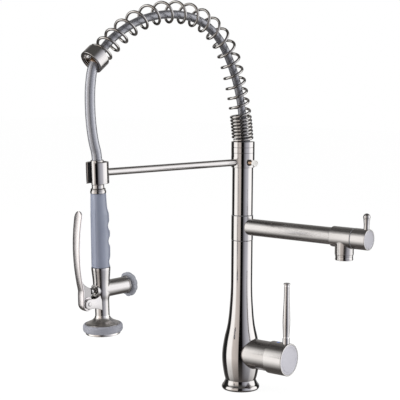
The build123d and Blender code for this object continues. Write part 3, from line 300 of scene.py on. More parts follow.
# Plastics and rubbers: colours, roughness, the grain's fineness and its bump
moulded = {
    "blackRubber": ((0.012, 0.012, 0.013), (0.028, 0.028, 0.03), 0.62),
    "sealPlastic": ((0.16, 0.17, 0.19), (0.26, 0.27, 0.3), 0.5),
    "cartridgePlastic": ((0.5, 0.49, 0.45), (0.62, 0.61, 0.57), 0.45),
    "indexBlue": ((0.10, 0.19, 0.55), (0.17, 0.28, 0.66), 0.3, 900.0, 0.05),
    "knobPlastic": ((0.30, 0.31, 0.355), (0.375, 0.385, 0.43), 0.42, 1500.0, 0.15),
    "bumperRubber": ((0.30, 0.305, 0.35), (0.37, 0.375, 0.42), 0.42, 1500.0, 0.15),
    "facePlastic": ((0.1, 0.1, 0.11), (0.17, 0.17, 0.18), 0.45),
    "palePlastic": ((0.78, 0.76, 0.73), (0.88, 0.865, 0.84), 0.3, 1200.0, 0.06)}
for name, settings in metals.items():
    metalMaterial(name, *settings)
for name, settings in moulded.items():
    mouldedMaterial(name, *settings)
mouldedMaterial("gripRubber", (0.25, 0.275, 0.36), (0.29, 0.315, 0.405), 0.24, 1700.0, 0.1, Specular_IOR_Level=0.75)
braidMaterial("hoseBraid", (0.27, 0.275, 0.305), (0.38, 0.385, 0.42), 0.26, 0.5, 22.0, 0.16, Coat_Weight=1.0,
              Coat_Roughness=0.06)
braidMaterial("darkBraid", (0.095, 0.096, 0.108), (0.28, 0.283, 0.31), 0.26, 0.6, 18.0, 0.3, Coat_Weight=0.6,
              Coat_Roughness=0.1)

slotLooks = {
    "brushed_nickel": "castNickel", "brass": "warmBrass", "black_rubber": "blackRubber",
    "seal_plastic": "sealPlastic", "cartridge_plastic": "cartridgePlastic", "spring_steel": "darkSteel",
    "satin_inlay": "discSatin", "blue_index": "indexBlue", "spring_nickel": "wireNickel", "dark_hose": "darkBraid",
    "braided_hose": "hoseBraid", "grip_rubber": "gripRubber", "pale_plastic": "palePlastic",
    "grey_plastic": "knobPlastic", "bumper_rubber": "bumperRubber", "face_plastic": "facePlastic"}
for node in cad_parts.values():
    for slot in node.material_slots:
        slot.material = bpy.data.materials[slotLooks[slot.material.name.split(".")[0]]]
print("materials set")


# Mesh makers

def span(steps, axes=2):
    # Shares from 0 to 1 in steps, shaped to multiply arrays of points.
    return np.linspace(0, 1, steps + 1).reshape(-1, *[1] * axes)


def parabola(first, corner, last, share):
    # Points of the parabola between two points that a corner draws out:
    # (1 - s)^2 first + 2 s (1 - s) corner + s^2 last.
    return (1 - share) ** 2 * first + 2 * share * (1 - share) * corner + share ** 2 * last


def rounded(corners, bevel=None, steps=4, closed=False):
    # Outline with rounded corners: each corner becomes a small parabola between the points at the bevel's
    # distance from it. The bevel comes with each corner or is one for all.
    corners = np.asarray(corners, float)
    bevel = corners[:, 2] if bevel is None else np.full(len(corners), bevel)
    corners = corners[:, :2]
    if closed:
        corners = np.vstack([corners[-1:], corners, corners[:1]])
        bevel = np.concatenate([bevel[-1:], bevel, bevel[:1]])
    here = corners[1:-1]
    toBefore, toAfter = corners[:-2] - here, corners[2:] - here
    lengthBefore, lengthAfter = (np.linalg.norm(way, axis=1, keepdims=True) for way in (toBefore, toAfter))
    reach = np.minimum(bevel[1:-1, None], 0.48 * np.minimum(lengthBefore, lengthAfter))
    first, last = here + toBefore * reach / lengthBefore, here + toAfter * reach / lengthAfter
    arcs = parabola(first[:, None], here[:, None], last[:, None], span(steps, 1)[None]).reshape(-1, 2)
    return arcs if closed else np.vstack([corners[:1], arcs, corners[-1:]])


def smooth(points, steps, start=None, end=None):
    # Smooth curve through points: cubic pieces whose slope at a point is the mean of those to its neighbours.
    points = np.asarray(points, float)
    spans = np.linalg.norm(np.diff(points, axis=0), axis=1)[:, None]
    chords = np.diff(points, axis=0) / spans
    between = (chords[:-1] * spans[1:] + chords[1:] * spans[:-1]) / (spans[1:] + spans[:-1])
    slopes = np.vstack([chords[:1], between, chords[-1:]])
    slopes[0], slopes[-1] = (np.asarray(way) / np.linalg.norm(way) for way in (start, end))
    share = span(steps, 1)[None, :-1]
    cubed, squared = share ** 3, share ** 2
    curve = (2 * cubed - 3 * squared + 1) * points[:-1, None] + (3 * squared - 2 * cubed) * points[1:, None]
    curve = curve + (cubed - 2 * squared + share) * (slopes[:-1] * spans)[:, None]
    curve = curve + (cubed - squared) * (slopes[1:] * spans)[:, None]
    return np.vstack([curve.reshape(-1, points.shape[1]), points[-1:]])


def denser(outline, near=0.9):
    # Outline with two more points on each long side, close to its ends, so that painted edge highlights stay narrow.
    outline = np.asarray(outline, float)
    spots = [outline[0]]
    for first, last in zip(outline[:-1], outline[1:]):
        length = np.linalg.norm(last - first)
        if length > 3.5 * near:
            step = (last - first) * near / length
            spots += [first + step, last - step]
        spots.append(last)
    return np.array(spots)


def circle(columns):
    # Cosines and sines of even turns round a circle.
    angle = np.linspace(0, 2 * pi, columns, endpoint=False)
    return np.cos(angle), np.sin(angle)


def turnedRings(radius, place, origin, axis, aside):
    # Rings about an axis from radii as (rows, columns) and places along the axis:
    # origin + radius (cos a aside + sin a across) + place axis.
    along, side = circle(radius.shape[1])
    around = along[:, None] * aside + side[:, None] * np.cross(axis, aside)
    return origin + (radius[..., None] * around + np.reshape(place, (-1, 1, 1)) * axis) * mm


def spun(outline, origin, axis, aside, columns=96):
    # Rings of an outline of (distance from the axis, place along it) turned about an axis.
    outline = denser(outline)
    return turnedRings(np.repeat(outline[:, :1], columns, 1), outline[:, 1], origin, axis, aside)


def tube(points, radius, columns, normals=None):
    # Rings of a round tube: point + radius (cos a normal + sin a binormal), in metres. Without normals the tube
    # lies in the arm's plane, and its binormal is to the plane's side.
    ahead = np.gradient(points, axis=0)
    ahead /= np.linalg.norm(ahead, axis=1, keepdims=True)
    if normals is None:
        normals, binormals = np.cross(armAside, ahead), np.broadcast_to(armAside, ahead.shape)
    else:
        normals = normals - (normals * ahead).sum(axis=1, keepdims=True) * ahead
        normals /= np.linalg.norm(normals, axis=1, keepdims=True)
        binormals = np.cross(ahead, normals)
    along, side = (part[None, :, None] for part in circle(columns))
    return points[:, None] + radius * mm * (along * normals[:, None] + side * binormals[:, None])


def plate(outline, place, aside, low, high, bevel):
    # Rings of a flat plate of a closed outline, from one side of its plane to the other, its rims bevelled
    # by a quarter round: the outline moves inwards by bevel (1 - cos t) while it rises by bevel sin t.
    ahead = np.roll(outline, -1, axis=0) - np.roll(outline, 1, axis=0)
    outward = np.stack([ahead[:, 1], -ahead[:, 0]], 1) / np.linalg.norm(ahead, axis=1, keepdims=True)
    (acrossNow, alongNow), (acrossNext, alongNext) = outline.T, np.roll(outline, -1, axis=0).T
    outward *= np.sign((acrossNow * alongNext - acrossNext * alongNow).sum())
    quarter = np.linspace(pi / 2, 0, 4)
    inset = bevel * (1 - np.cos(np.concatenate([quarter, quarter[::-1]])))
    rise = bevel - bevel * np.sin(quarter)
    height = np.concatenate([low + rise, high - rise[::-1]])
    flat = outline[None] - outward[None] * inset[:, None, None]
    spots = np.stack([place(*spot) for spot in flat.reshape(-1, 2)]).reshape(*flat.shape[:2], 3)
    return spots + height[:, None, None] * mm * aside


def gather(patches):
    # Vertices, faces and UV of patches. A patch is rings as (rows, columns, 3), closed round its columns, with
    # how its ends are shut: "fan" to their middle, "plate" by one flat face, "loop" to each other, "last" by a
    # fan at its last ring alone, or "open" against another patch. UV is share round and metres along. A patch
    # whose volume, the sum of corner . (next x after next), comes out negative is turned over.
    vertices, faces, layout, base = [], [], [], 0
    for rings, ends in patches:
        rows, columns = rings.shape[:2]
        own = rings.reshape(-1, 3)
        run = np.concatenate([[0], np.cumsum(np.linalg.norm(np.diff(rings[:, 0], axis=0), axis=1))])
        row, column = np.arange(rows if ends == "loop" else rows - 1), np.arange(columns)
        following, beside = (row + 1) % rows, (column + 1) % columns
        quads = np.stack([(first[:, None] * columns + second).ravel() for first, second in (
            (row, column), (row, beside), (following, beside), (following, column))], 1)
        share = np.tile(column / columns, len(row))
        here, there = np.repeat(run[row], columns), np.repeat(run[following], columns)
        uv = np.stack([np.stack([share, share + 1 / columns, share + 1 / columns, share], 1),
                       np.stack([here, here, there, there], 1)], 2)
        middle = own.mean(axis=0)
        first, second, third, fourth = (own[quads] - middle).transpose(1, 0, 2)
        volume = (first * (np.cross(second, third) + np.cross(third, fourth))).sum()
        groups = [(quads, uv)]
        for place, way in ((0, -1), (rows - 1, 1)):
            if ends in ("loop", "open") or (ends == "last" and place == 0):
                continue
            ring = (place * columns + column)[::way]
            rim = own[ring] - middle
            volume += (np.cross(rim, np.roll(rim, -1, axis=0)) * rim.mean(axis=0)).sum()
            if ends == "plate":
                groups.append((ring[None], np.zeros((1, columns, 2))))
                continue
            own = np.vstack([own, rings[place].mean(axis=0)])
            corners = [[0.0, run[place]], [1 / columns, run[place]], [0.5 / columns, run[place]]]
            groups.append((np.stack([ring, np.roll(ring, -1), np.full(columns, len(own) - 1)], 1),
                           np.tile(corners, (columns, 1, 1))))
        for group, coordinates in groups:
            if volume < 0:
                group, coordinates = group[:, ::-1], coordinates[:, ::-1]
            faces += (group + base).tolist()
            layout.append(coordinates.reshape(-1, 2))
        vertices.append(own)
        base += len(own)
    return np.vstack(vertices), faces, np.vstack(layout)


def buildPiece(name, patches, look, body, node=None, sharp=38.0):
    # One object from patches, with its material, its moving body and the CAD node that it stands for.
    vertices, faces, layout = gather(patches)
    mesh = bpy.data.meshes.new(name)
    mesh.from_pydata(vertices.tolist(), [], faces)
    mesh.uv_layers.new(name="UVMap").data.foreach_set("uv", layout.ravel().astype(np.float32))
    mesh.polygons.foreach_set("use_smooth", np.ones(len(mesh.polygons), bool))
    mesh.set_sharp_from_angle(angle=radians(sharp))
    mesh.materials.append(bpy.data.materials[look])
    mesh.update()
    piece = bpy.data.objects.new(name, mesh)
    bpy.context.scene.collection.objects.link(piece)
    if body:
        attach(piece, body)
    if node:
        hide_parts(node)
    return piece


def turnedPiece(name, outline, axes, look, body, node=None, ends="loop", columns=96, steps=4):
    # A piece turned about an axis from a closed outline or, with "fan", from one that starts and ends at the axis.
    if len(outline[0]) == 3:
        outline = rounded(outline, steps=steps, closed=ends == "loop")
    return buildPiece(name, [(spun(outline, *axes, columns), ends)], look, body, node)


def ringOutline(inner, outer, bottom, top, bevel=0.5):
    # Outline of a plain ring with rounded outer corners.
    return (inner, bottom, 0.15), (outer, bottom, bevel), (outer, top, bevel), (inner, top, 0.15)


# Base and bottle-shaped body with the valve housing that grows out of it

base = {"under": ((17.1, 1.55), (28.44, 1.55), (28.44, 0.45)), "inside": (17.1, 15.5),
        "lip": ((28.7, 0.45), (30.0, 3.0), (29.1, 6.2), (27.0, 8.9), (25.5, 11.8), (24.4, 15.5))}
turnedPiece("baseFlange", np.vstack([base["under"], smooth(base["lip"], 10, (1, 1), (-0.1, 1)), [base["inside"]]]),
            onColumn, "columnNickel", "base", "base_flange")

bottle = {"side": ((24.4, 15.5), (28.1, 32.0), (29.9, 52.0), (26.6, 81.0), (22.2, 100.0), (18.1, 138.0),
                   (16.8, 176.0)), "bore": (12.5, 15.5),
          "neck": ((16.8, 200.0), (16.8, 238.4), (12.5, 238.4)),
          "housing": {"height": places["valve"], "radius": 23.2, "fillet": 1.1, "rim": rounded((
              (23.2, 38.8, 0), (23.2, 58.8, 0.5), (17.7, 58.8, 0.5), (17.7, 40.0, 0)))[1:]}}
bottleSide = smooth(bottle["side"], 14, (0.35, 1), (0, 1))


def onBottle(y, z):
    # How far out the bottle's surface is at a side place and a height: the root of its radius squared less y squared.
    radius = np.interp(z, bottleSide[:, 1], bottleSide[:, 0])
    return np.sqrt(np.maximum(radius ** 2 - y ** 2, 0))


def bossRings(boss, surface, columns=96):
    # Rings of a boss along +X that starts on a curved surface, in millimetres: a parabola from the surface to
    # the boss's own side makes its fillet, no wider than the surface is, and its rim goes back down its bore.
    side, height = circle(columns)
    radius, fillet = boss["radius"], boss["fillet"]
    wide = radius + fillet
    limit = boss.get("limit", wide)
    spread = np.clip(wide * side, -limit, limit)
    outer = np.stack([surface(spread, boss["height"] + wide * height), spread, wide * height], 1)
    root = surface(radius * side, boss["height"] + radius * height)
    corner = np.stack([root, radius * side, radius * height], 1)
    foot = parabola(outer, corner, corner + fillet * alongX, span(5))
    out, reach = denser(boss["rim"])[:, 1:], denser(boss["rim"])[:, :1]
    rim = np.stack([out + 0 * side, reach * side, reach * height], 2)
    return np.concatenate([foot, rim]) + boss["height"] * straightUp


turnedPiece("bottleBody", np.vstack([[bottle["bore"]], bottleSide, rounded(bottle["neck"], 0.5)]), onColumn,
            "columnNickel", "base", "faucet_body")
buildPiece("valveHousing", [(bossRings(bottle["housing"], onBottle) * mm, "last")], "spoutNickel", "base")

column = ((12.44, 278.5), (16.3, 278.5), (16.3, 353.4), (13.0, 353.4), (13.0, 380.0), (8.6, 380.0), (8.6, 302.6),
          (12.44, 302.6))
turnedPiece("upperColumn", rounded(column, 0.5, closed=True), onColumn, "columnNickel", "base", "upper_column")
print("column made")

# Valve handle: cap, end disc, index dot and lever

handle = {"cap": ((24.3, 59.1, 0.1), (25.4, 59.1, 0.5), (25.4, 92.1, 1.2), (23.46, 92.1, 0.2), (23.46, 90.4, 0),
                  (7.0, 90.4, 0), (7.0, 78.0, 0), (23.0, 78.0, 0)),
          "disc": ((23.4, 90.4, 0), (23.4, 91.9, 0.3), (19.5, 91.95, 0.2), (19.2, 91.8, 0.2), (18.9, 91.95, 0.2),
                   (2.0, 92.0, 0)),
          "leverAt": 85.5,
          "leverFoot": ((3.0, 12.0, 0), (3.0, 24.4, 0), (5.6, 24.4, 0.3), (5.6, 33.2, 0.7), (4.7, 34.6, 0)),
          "leverSide": ((4.7, 34.6), (5.2, 44.0), (5.85, 57.5), (5.5, 72.0), (4.7, 90.0), (4.3, 104.0),
                        (4.25, 117.0)),
          "leverTop": ((4.25, 117.0, 0), (5.05, 117.9, 0.4), (5.05, 120.0, 0.9), (0.4, 120.0, 0)),
          "dotAt": 71.5, "dot": 2.8, "radius": 25.4, "dotRise": 0.25}
turnedPiece("handleCap", handle["cap"], onValve, "spoutNickel", "handle", "handle_cap")
turnedPiece("handleDisc", handle["disc"], onValve, "discSatin", "handle", "handle_disc", "fan")
leverOutline = np.vstack([rounded(handle["leverFoot"]), smooth(handle["leverSide"], 10, (0.05, 1), (0, 1)),
                          rounded(handle["leverTop"])])
turnedPiece("handleLever", leverOutline, (onValve[0] + handle["leverAt"] * mm * alongX, straightUp, alongX),
            "castNickel", "handle", "handle_lever", "fan", 48)


def dotRings(columns=40, steps=8):
    # Rings of a low dome that sits on a cylinder along X: height is the root of the cylinder's radius squared
    # less y squared, plus a rise that falls off as the fourth power of the distance from the dome's middle.
    share = np.linspace(1, 0.05, steps)[:, None]
    along, side = (handle["dot"] * share * part for part in circle(columns))
    top = np.sqrt(handle["radius"] ** 2 - side ** 2) + handle["dotRise"] * (1 - share ** 4)
    rings = np.stack([handle["dotAt"] + along, side, top], 2)
    foot = rings[:1] * [1, 1, 0] + (handle["radius"] - 1.2) * straightUp
    return np.concatenate([foot, rings]) * mm + onValve[0]


buildPiece("handleIndex", [(dotRings(), "fan")], "indexBlue", "handle", "handle_index")
print("handle made")

# Swivel ring, spout, its head with the outlet, and the turning shut-off

spout = {"ring": ringOutline(13.46, 17.1, 239.13, 277.77, 0.25), "tube": ringOutline(10.6, 13.0, 14.2, 178.0, 0.1),
         "head": ((13.04, 166.5, 0.1), (15.4, 166.5, 1.0), (15.4, 202.6, 0.5), (5.6, 202.6, 0), (5.6, 194.0, 0),
                  (10.6, 194.0, 0), (10.6, 178.0, 0), (13.04, 178.0, 0)),
         "headRadius": 15.4, "outletAt": 186.0, "outlet": 14.1, "fillet": 0.9,
         "rim": ((14.1, -20.0), (14.1, -25.8), (11.04, -25.8), (11.04, -17.0)),
         "aerator": ((9.5, -33.8, 0.3), (13.5, -33.8, 0.9), (13.5, -31.6, 0.2), (13.2, -31.2, 0.2),
                     (13.2, -28.2, 0.2), (13.5, -27.8, 0.2), (13.5, -25.85, 0.3), (11.0, -25.85, 0),
                     (11.0, -17.8, 0), (9.5, -17.8, 0)),
         "tap": ((5.54, 203.5, 0), (15.6, 203.5, 0.6), (15.6, 227.7, 0.9), (14.24, 227.7, 0.2), (14.24, 226.4, 0),
                 (1.0, 226.4, 0), (1.0, 218.0, 0), (5.54, 218.0, 0)),
         "tapDisc": ((14.2, 226.4, 0), (14.2, 227.5, 0.3), (12.2, 227.5, 0.1), (12.0, 227.35, 0.1),
                     (11.8, 227.5, 0.1), (1.0, 227.55, 0)),
         "pinAt": 222.8, "pinSide": ((4.1, 20.0), (4.5, 26.0), (5.07, 31.55)), "crown": 5.4, "crownAt": 33.4,
         "pinFoot": ((2.46, 7.0, 0), (2.46, 14.6, 0), (4.4, 14.6, 0.3), (4.3, 15.8, 0.5), (4.1, 20.0, 0))}
turnedPiece("spoutRing", spout["ring"], onColumn, "columnNickel", "spout", "spout_ring")
turnedPiece("spoutTube", spout["tube"], onSpout, "spoutNickel", "spout", "spout_tube")


def outletRings(columns=96):
    # Rings of the outlet: it starts on the head's round side, at minus the root of the head's radius squared less
    # y squared, and goes down to a rounded rim and up its own bore.
    along, side = circle(columns)

    def ring(reach, drop):
        return np.stack([spout["outletAt"] + reach * along, reach * side, drop + 0 * along], 1)

    first, corner = (ring(reach, -np.sqrt(np.maximum(spout["headRadius"] ** 2 - (reach * side) ** 2, 0)))
                     for reach in (spout["outlet"] + spout["fillet"], spout["outlet"]))
    foot = parabola(first, corner, corner - spout["fillet"] * straightUp, span(5))
    rim = np.stack([ring(reach, drop) for reach, drop in rounded(spout["rim"], 0.6)[1:]])
    return np.concatenate([foot, rim]) * mm + onSpout[0]


buildPiece("spoutHead", [(spun(rounded(spout["head"], closed=True), *onSpout), "loop"), (outletRings(), "last")],
           "spoutNickel", "spout", "spout_head")
turnedPiece("aeratorHousing", spout["aerator"], (onSpout[0] + spout["outletAt"] * mm * alongX, straightUp, alongX),
            "columnNickel", "spout", "aerator_housing")
turnedPiece("tapCap", spout["tap"], onSpout, "spoutNickel", "spout_tap", "tap_cap")
turnedPiece("tapDisc", spout["tapDisc"], onSpout, "discSatin", "spout_tap", "tap_disc", "fan")
crownTurn = np.radians(np.linspace(-20, 88, 16))
crown = spout["crown"] * np.stack([np.cos(crownTurn), np.sin(crownTurn)], 1) + (0, spout["crownAt"])
pinOutline = np.vstack([rounded(spout["pinFoot"]), smooth(spout["pinSide"], 8, (-0.02, 1), (0.2, 1))[1:-1], crown])
turnedPiece("tapPin", pinOutline, (onSpout[0] + spout["pinAt"] * mm * alongX, straightUp, alongX), "castNickel",
            "spout_tap", "tap_pin", "fan", 48)
print("spout made")

# Arm's ring with the clamp screw, lock ring and spring collar

collar = {"radius": 18.2, "low": 354.0, "high": 375.4, "hole": 4.4, "screwTurn": radians(341.0),
          "crowding": 1.6, "sink": (0.15, 0.6, 2.2, 2.2), "narrow": (0.98, 0.95, 0.94, 0.5),
          "rest": ((18.2, 375.4, 0), (18.2, 376.0, 0.5), (13.06, 376.0, 0.1), (13.06, 353.5, 0.1),
                   (18.2, 353.5, 0.45), (18.2, 354.0, 0)),
          "lock": ringOutline(11.04, 18.2, 376.05, 384.6), "spring": ringOutline(11.04, 18.2, 384.65, 393.4),
          "seat": ((3.45, 16.2), (5.2, 16.2), (5.2, 18.2), (3.45, 18.2)), "threads": 14,
          "knob": ((3.45, 29.0, 0.1), (4.8, 29.0, 0.9), (4.8, 34.2, 1.3), (3.6, 34.2, 0.3), (3.2, 33.9, 0.2),
                   (0.5, 33.9, 0))}
screwOut = np.array([cos(collar["screwTurn"]), sin(collar["screwTurn"]), 0])
onScrew = (places["arm"] * mm * straightUp, screwOut, straightUp)


def holedWall(rows=40, columns=120):
    # Round wall with a round hole, as rings round the hole: on the wall laid flat, each ring lies between the
    # hole's circle and the wall's rectangle, and the last rings go straight in to the hole's floor.
    along, side = circle(columns)
    radius, middle = collar["radius"], places["arm"]
    wallReach = pi * radius / np.maximum(np.abs(along), 1e-9)
    edgeReach = np.where(side > 0, collar["high"] - middle, middle - collar["low"]) / np.maximum(np.abs(side), 1e-9)
    share = np.linspace(1, 0, rows)[:, None] ** collar["crowding"]
    flat = collar["hole"] + (np.minimum(wallReach, edgeReach) - collar["hole"]) * share
    turn = collar["screwTurn"] + flat * along / radius
    wall = np.stack([radius * np.cos(turn), radius * np.sin(turn), middle + flat * side], 2)
    sink, narrow = (np.reshape(collar[part], (-1, 1, 1)) for part in ("sink", "narrow"))
    centre = radius * screwOut + middle * straightUp
    return np.concatenate([wall, centre + (wall[-1] - centre) * narrow - sink * screwOut]) * mm


buildPiece("armRing", [(holedWall(), "last"), (spun(rounded(collar["rest"]), *onColumn), "open")], "columnNickel",
           "arm", "arm_ring")
turnedPiece("lockRing", collar["lock"], onColumn, "columnNickel", "arm", "lock_ring")
turnedPiece("springCollar", collar["spring"], onColumn, "columnNickel", "arm", "spring_collar")
threads = [spot for turn in range(collar["threads"]) for spot in ((3.0, 15.2 + turn), (3.4, 15.7 + turn))]
screwOutline = rounded([(3.3, 14.0), *threads, (3.0, 30.0), (3.0, 31.0)], 0.2, 3)
# A black ring round the screw, flush with the hole's mouth: painted shade in the recess.
turnedPiece("screwHoleShade", rounded(collar["seat"], 0.35, closed=True), onScrew, "blackRubber", "arm", columns=40)
turnedPiece("clampScrew", screwOutline, onScrew, "warmBrass", "arm_knob", "clamp_screw", "fan", 40)
turnedPiece("clampKnob", collar["knob"], onScrew, "palePlastic", "arm_knob", "clamp_knob", "fan", 48)
print("collar made")

# Spring round the arch, the hose inside it and the ring at its end

arch = {"foot": (0.6, 393.4), "heading": 4.5, "arcs": ((127.4, 16.6), (112.1, 57.8), (147.5, 50.7), (38.7, -1.1)),
        "radius": 15.0, "wire": 2.05, "seat": 3.4, "closeTurns": 7, "closePitch": 5.3, "openTurns": 18.5,
        "swell": 0.17, "skew": 0.31, "ripple": 0.05, "tail": 4.1, "slack": 0.1, "spots": 1429,
        "hoseFoot": (0.0, 401.0), "hoseArcs": ((142.0, 33.0), (89.2, 47.1), (151.5, 46.2), (38.2, 20.4)),
        "hose": 6.1, "hoseBottom": 364.0, "hoseTop": 399.0, "stub": 5.0,
        "endRing": ((14.2, 0, 0.3), (18.2, 0, 0.6), (18.2, 17.6, 0.8), (13.6, 17.6, 0.6), (13.6, 15.2, 0.2),
                    (14.2, 14.0, 0.2)),
        "coupling": ((6.2, -4.5), (8.8, -4.5), (8.8, -1.2), (8.4, -0.9), (8.4, 0.9), (8.8, 1.2), (8.8, 4.5),
                     (7.4, 4.5), (7.4, 0.1), (6.2, 0.1))}


def archPath(foot, heading, arcs, travel):
    # Places and headings along a chain of arcs: out + r (cos h0 - cos h), height + r (sin h - sin h0),
    # where the heading h, from straight up, grows evenly along each arc.
    out, height, angle = np.zeros((3, len(travel)))
    (startOut, startHeight), startAngle, done = foot, radians(heading), 0.0
    for index, (length, turn) in enumerate(arcs):
        here = (travel >= done) | (index == 0)
        radius = length / radians(turn)
        angle[here] = startAngle + (travel[here] - done) / radius
        out[here] = startOut + radius * (cos(startAngle) - np.cos(angle[here]))
        height[here] = startHeight + radius * (np.sin(angle[here]) - sin(startAngle))
        endAngle = startAngle + length / radius
        startOut += radius * (cos(startAngle) - cos(endAngle))
        startHeight += radius * (sin(endAngle) - sin(startAngle))
        startAngle, done = endAngle, done + length
    return out, height, angle


def inArmPlane(out, height):
    # Places from arrays of distance out along the arm and of height.
    return (np.multiply.outer(out, armAlong) + np.multiply.outer(height, straightUp)) * mm


def springPath():
    # The wire's middle and its direction from the arch's middle: point + radius (sin t inward + cos t aside), with
    # the turns t close together at the foot and then spread by a wave, and a straight tail at each end.
    turns = np.linspace(0, arch["closeTurns"] + arch["openTurns"], arch["spots"])
    closeRun = arch["seat"] + arch["closeTurns"] * arch["closePitch"]
    openRun = archLength - closeRun - arch["wire"] - arch["slack"]
    share = (turns - arch["closeTurns"]) / arch["openTurns"]
    wave = (arch["swell"] * np.sin(2 * pi * share) / (2 * pi) + arch["skew"] * (1 - np.cos(2 * pi * share)) / (4 * pi)
            + arch["ripple"] * np.sin(4 * pi * share) / (4 * pi))
    travel = np.where(share < 0, arch["seat"] + turns * arch["closePitch"], closeRun + openRun * (share - wave))
    out, height, angle = archPath(arch["foot"], arch["heading"], arch["arcs"], travel)
    spin = (pi / 2 + 2 * pi * turns)[:, None]
    inward = np.multiply.outer(np.cos(angle), armAlong) - np.multiply.outer(np.sin(angle), straightUp)
    spokes = np.sin(spin) * inward + np.cos(spin) * armAside
    path = inArmPlane(out, height) + arch["radius"] * mm * spokes
    tail = np.linspace(1, 0.2, 4)[:, None] * arch["tail"] * mm * armAside
    directions = np.vstack([spokes[[0] * 4], spokes, spokes[[-1] * 4]])
    return np.vstack([path[0] + tail, path, path[-1] + tail[::-1]]), directions


archLength, hoseLength = (sum(length for length, turn in arch[part]) for part in ("arcs", "hoseArcs"))
wirePath, spokes = springPath()
buildPiece("archSpring", [(tube(wirePath, arch["wire"], 14, spokes), "fan")], "wireNickel", "arm", "arch_spring")

out, height, angle = archPath(arch["hoseFoot"], 0.0, arch["hoseArcs"], np.linspace(0, hoseLength, 160))
hoseWay = armAlong * sin(angle[-1]) + straightUp * cos(angle[-1])
archPoints = np.vstack([inArmPlane(np.zeros(8), np.linspace(arch["hoseBottom"], arch["hoseTop"], 8)),
                        inArmPlane(out, height)])
leave = archPoints[-1] + arch["stub"] * mm * hoseWay
buildPiece("archHose", [(tube(np.vstack([archPoints, leave]), arch["hose"], 40), "fan")], "darkBraid", "arm",
           "arch_hose")

endOut, endHeight, endAngle = (values[0] for values in archPath(arch["foot"], arch["heading"], arch["arcs"],
                                                                np.array([archLength])))
endWay = armAlong * sin(endAngle) + straightUp * cos(endAngle)
turnedPiece("springEndRing", arch["endRing"], (armPoint(endOut, endHeight), endWay, armAside), "castNickel", "arm",
            "spring_end_ring")
turnedPiece("hoseCoupling", rounded(arch["coupling"], 0.25, closed=True), (leave, hoseWay, armAside), "warmBrass",
            "arm", "hose_coupling", columns=64)
print("arch made")

# Free hose: it leaves the end ring, bows outwards and goes down into the hand spray

freeHose = {"radius": 7.3, "lead": 9.0, "tail": 26.0, "seat": 11.0,
            "bow": ((0.065, 2.9), (0.155, 5.2), (0.27, 7.3), (0.41, 8.2), (0.57, 8.3), (0.73, 6.9), (0.88, 4.2))}
leadPoint, tailPoint = leave + hoseWay * freeHose["lead"] * mm, sprayPoint(0, freeHose["tail"])
chord = tailPoint - leadPoint
bowWay = np.cross(chord, armAside) / np.linalg.norm(chord)
bowWay *= np.sign(bowWay @ armAlong)
routePoints = [leave, leadPoint, *(leadPoint + chord * share + bowWay * bow * mm for share, bow in freeHose["bow"]),
               tailPoint, sprayPoint(0, freeHose["seat"])]

hoseLine = bpy.data.curves.new("hoseLine", "CURVE")
hoseLine.dimensions = "3D"
spline = hoseLine.splines.new("NURBS")
spline.points.add(len(routePoints) - 1)
spline.points.foreach_set("co", np.hstack([routePoints, np.ones((len(routePoints), 1))]).ravel())
spline.order_u = 3
spline.use_endpoint_u = True
spline.resolution_u = 12
lineObject = bpy.data.objects.new("hoseLine", hoseLine)
lineMesh = bpy.data.meshes.new_from_object(lineObject)
hosePath = np.array([vertex.co for vertex in lineMesh.vertices])
bpy.data.objects.remove(lineObject)
bpy.data.meshes.remove(lineMesh)

sprayHose = buildPiece("sprayHose", [(tube(hosePath, freeHose["radius"], 48), "fan")], "hoseBraid", None,
                       "spray_hose")
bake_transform(sprayHose)

# Arm's rod and the C-shaped holder with its liner

holder = {"rod": ((0.3, 15.7), (5.3, 15.7), (5.3, 100.0), (5.3, 180.0), (5.3, 268.6), (0.3, 268.6)),
          "clamp": (12.6, 16.2, 15.2, 17.0, 0.6), "liner": (9.4, 12.55, 14.8, 15.0, 0.25)}
turnedPiece("armRod", holder["rod"], (armPoint(0, places["arm"]), armAlong, armAside), "rodNickel", "arm",
            "arm_rod", "fan", 48)


def clampRings(inner, outer, half, slot, bevel, steps=72):
    # Rings of a C-shaped clamp: a rounded section (radius, height) goes round the spray's axis from one side of
    # its slot to the other; at a radius r the slot's angle is the arcsine of half its width over r. Two smaller
    # sections bevel each end.
    rings = []
    for inset, shares in ((bevel, [0.0]), (0.3 * bevel, [0.0]), (0.0, np.linspace(0, 1, steps)),
                          (0.3 * bevel, [1.0]), (bevel, [1.0])):
        low, high, side = inner + inset, outer - inset, half - inset
        radius, height = rounded([(low, -side), (high, -side), (high, side), (low, side)], bevel, closed=True).T
        extra = {bevel: 0.0, 0.3 * bevel: 0.3 * bevel, 0.0: bevel}[inset]
        first = np.arcsin((slot / 2 + extra) / radius)
        turn = first + np.reshape(shares, (-1, 1)) * (2 * pi - 2 * first)
        rings.append(np.stack([radius * np.cos(turn), radius * np.sin(turn), height + 0 * turn], 2))
    return inSpray(np.concatenate(rings))


buildPiece("sprayHolder", [(clampRings(*holder["clamp"]), "plate")], "columnNickel", "arm", "spray_holder")
buildPiece("holderLiner", [(clampRings(*holder["liner"]), "plate")], "blackRubber", "arm", "holder_liner")
print("arm made")

# Hand spray: ferrule, collar and grip

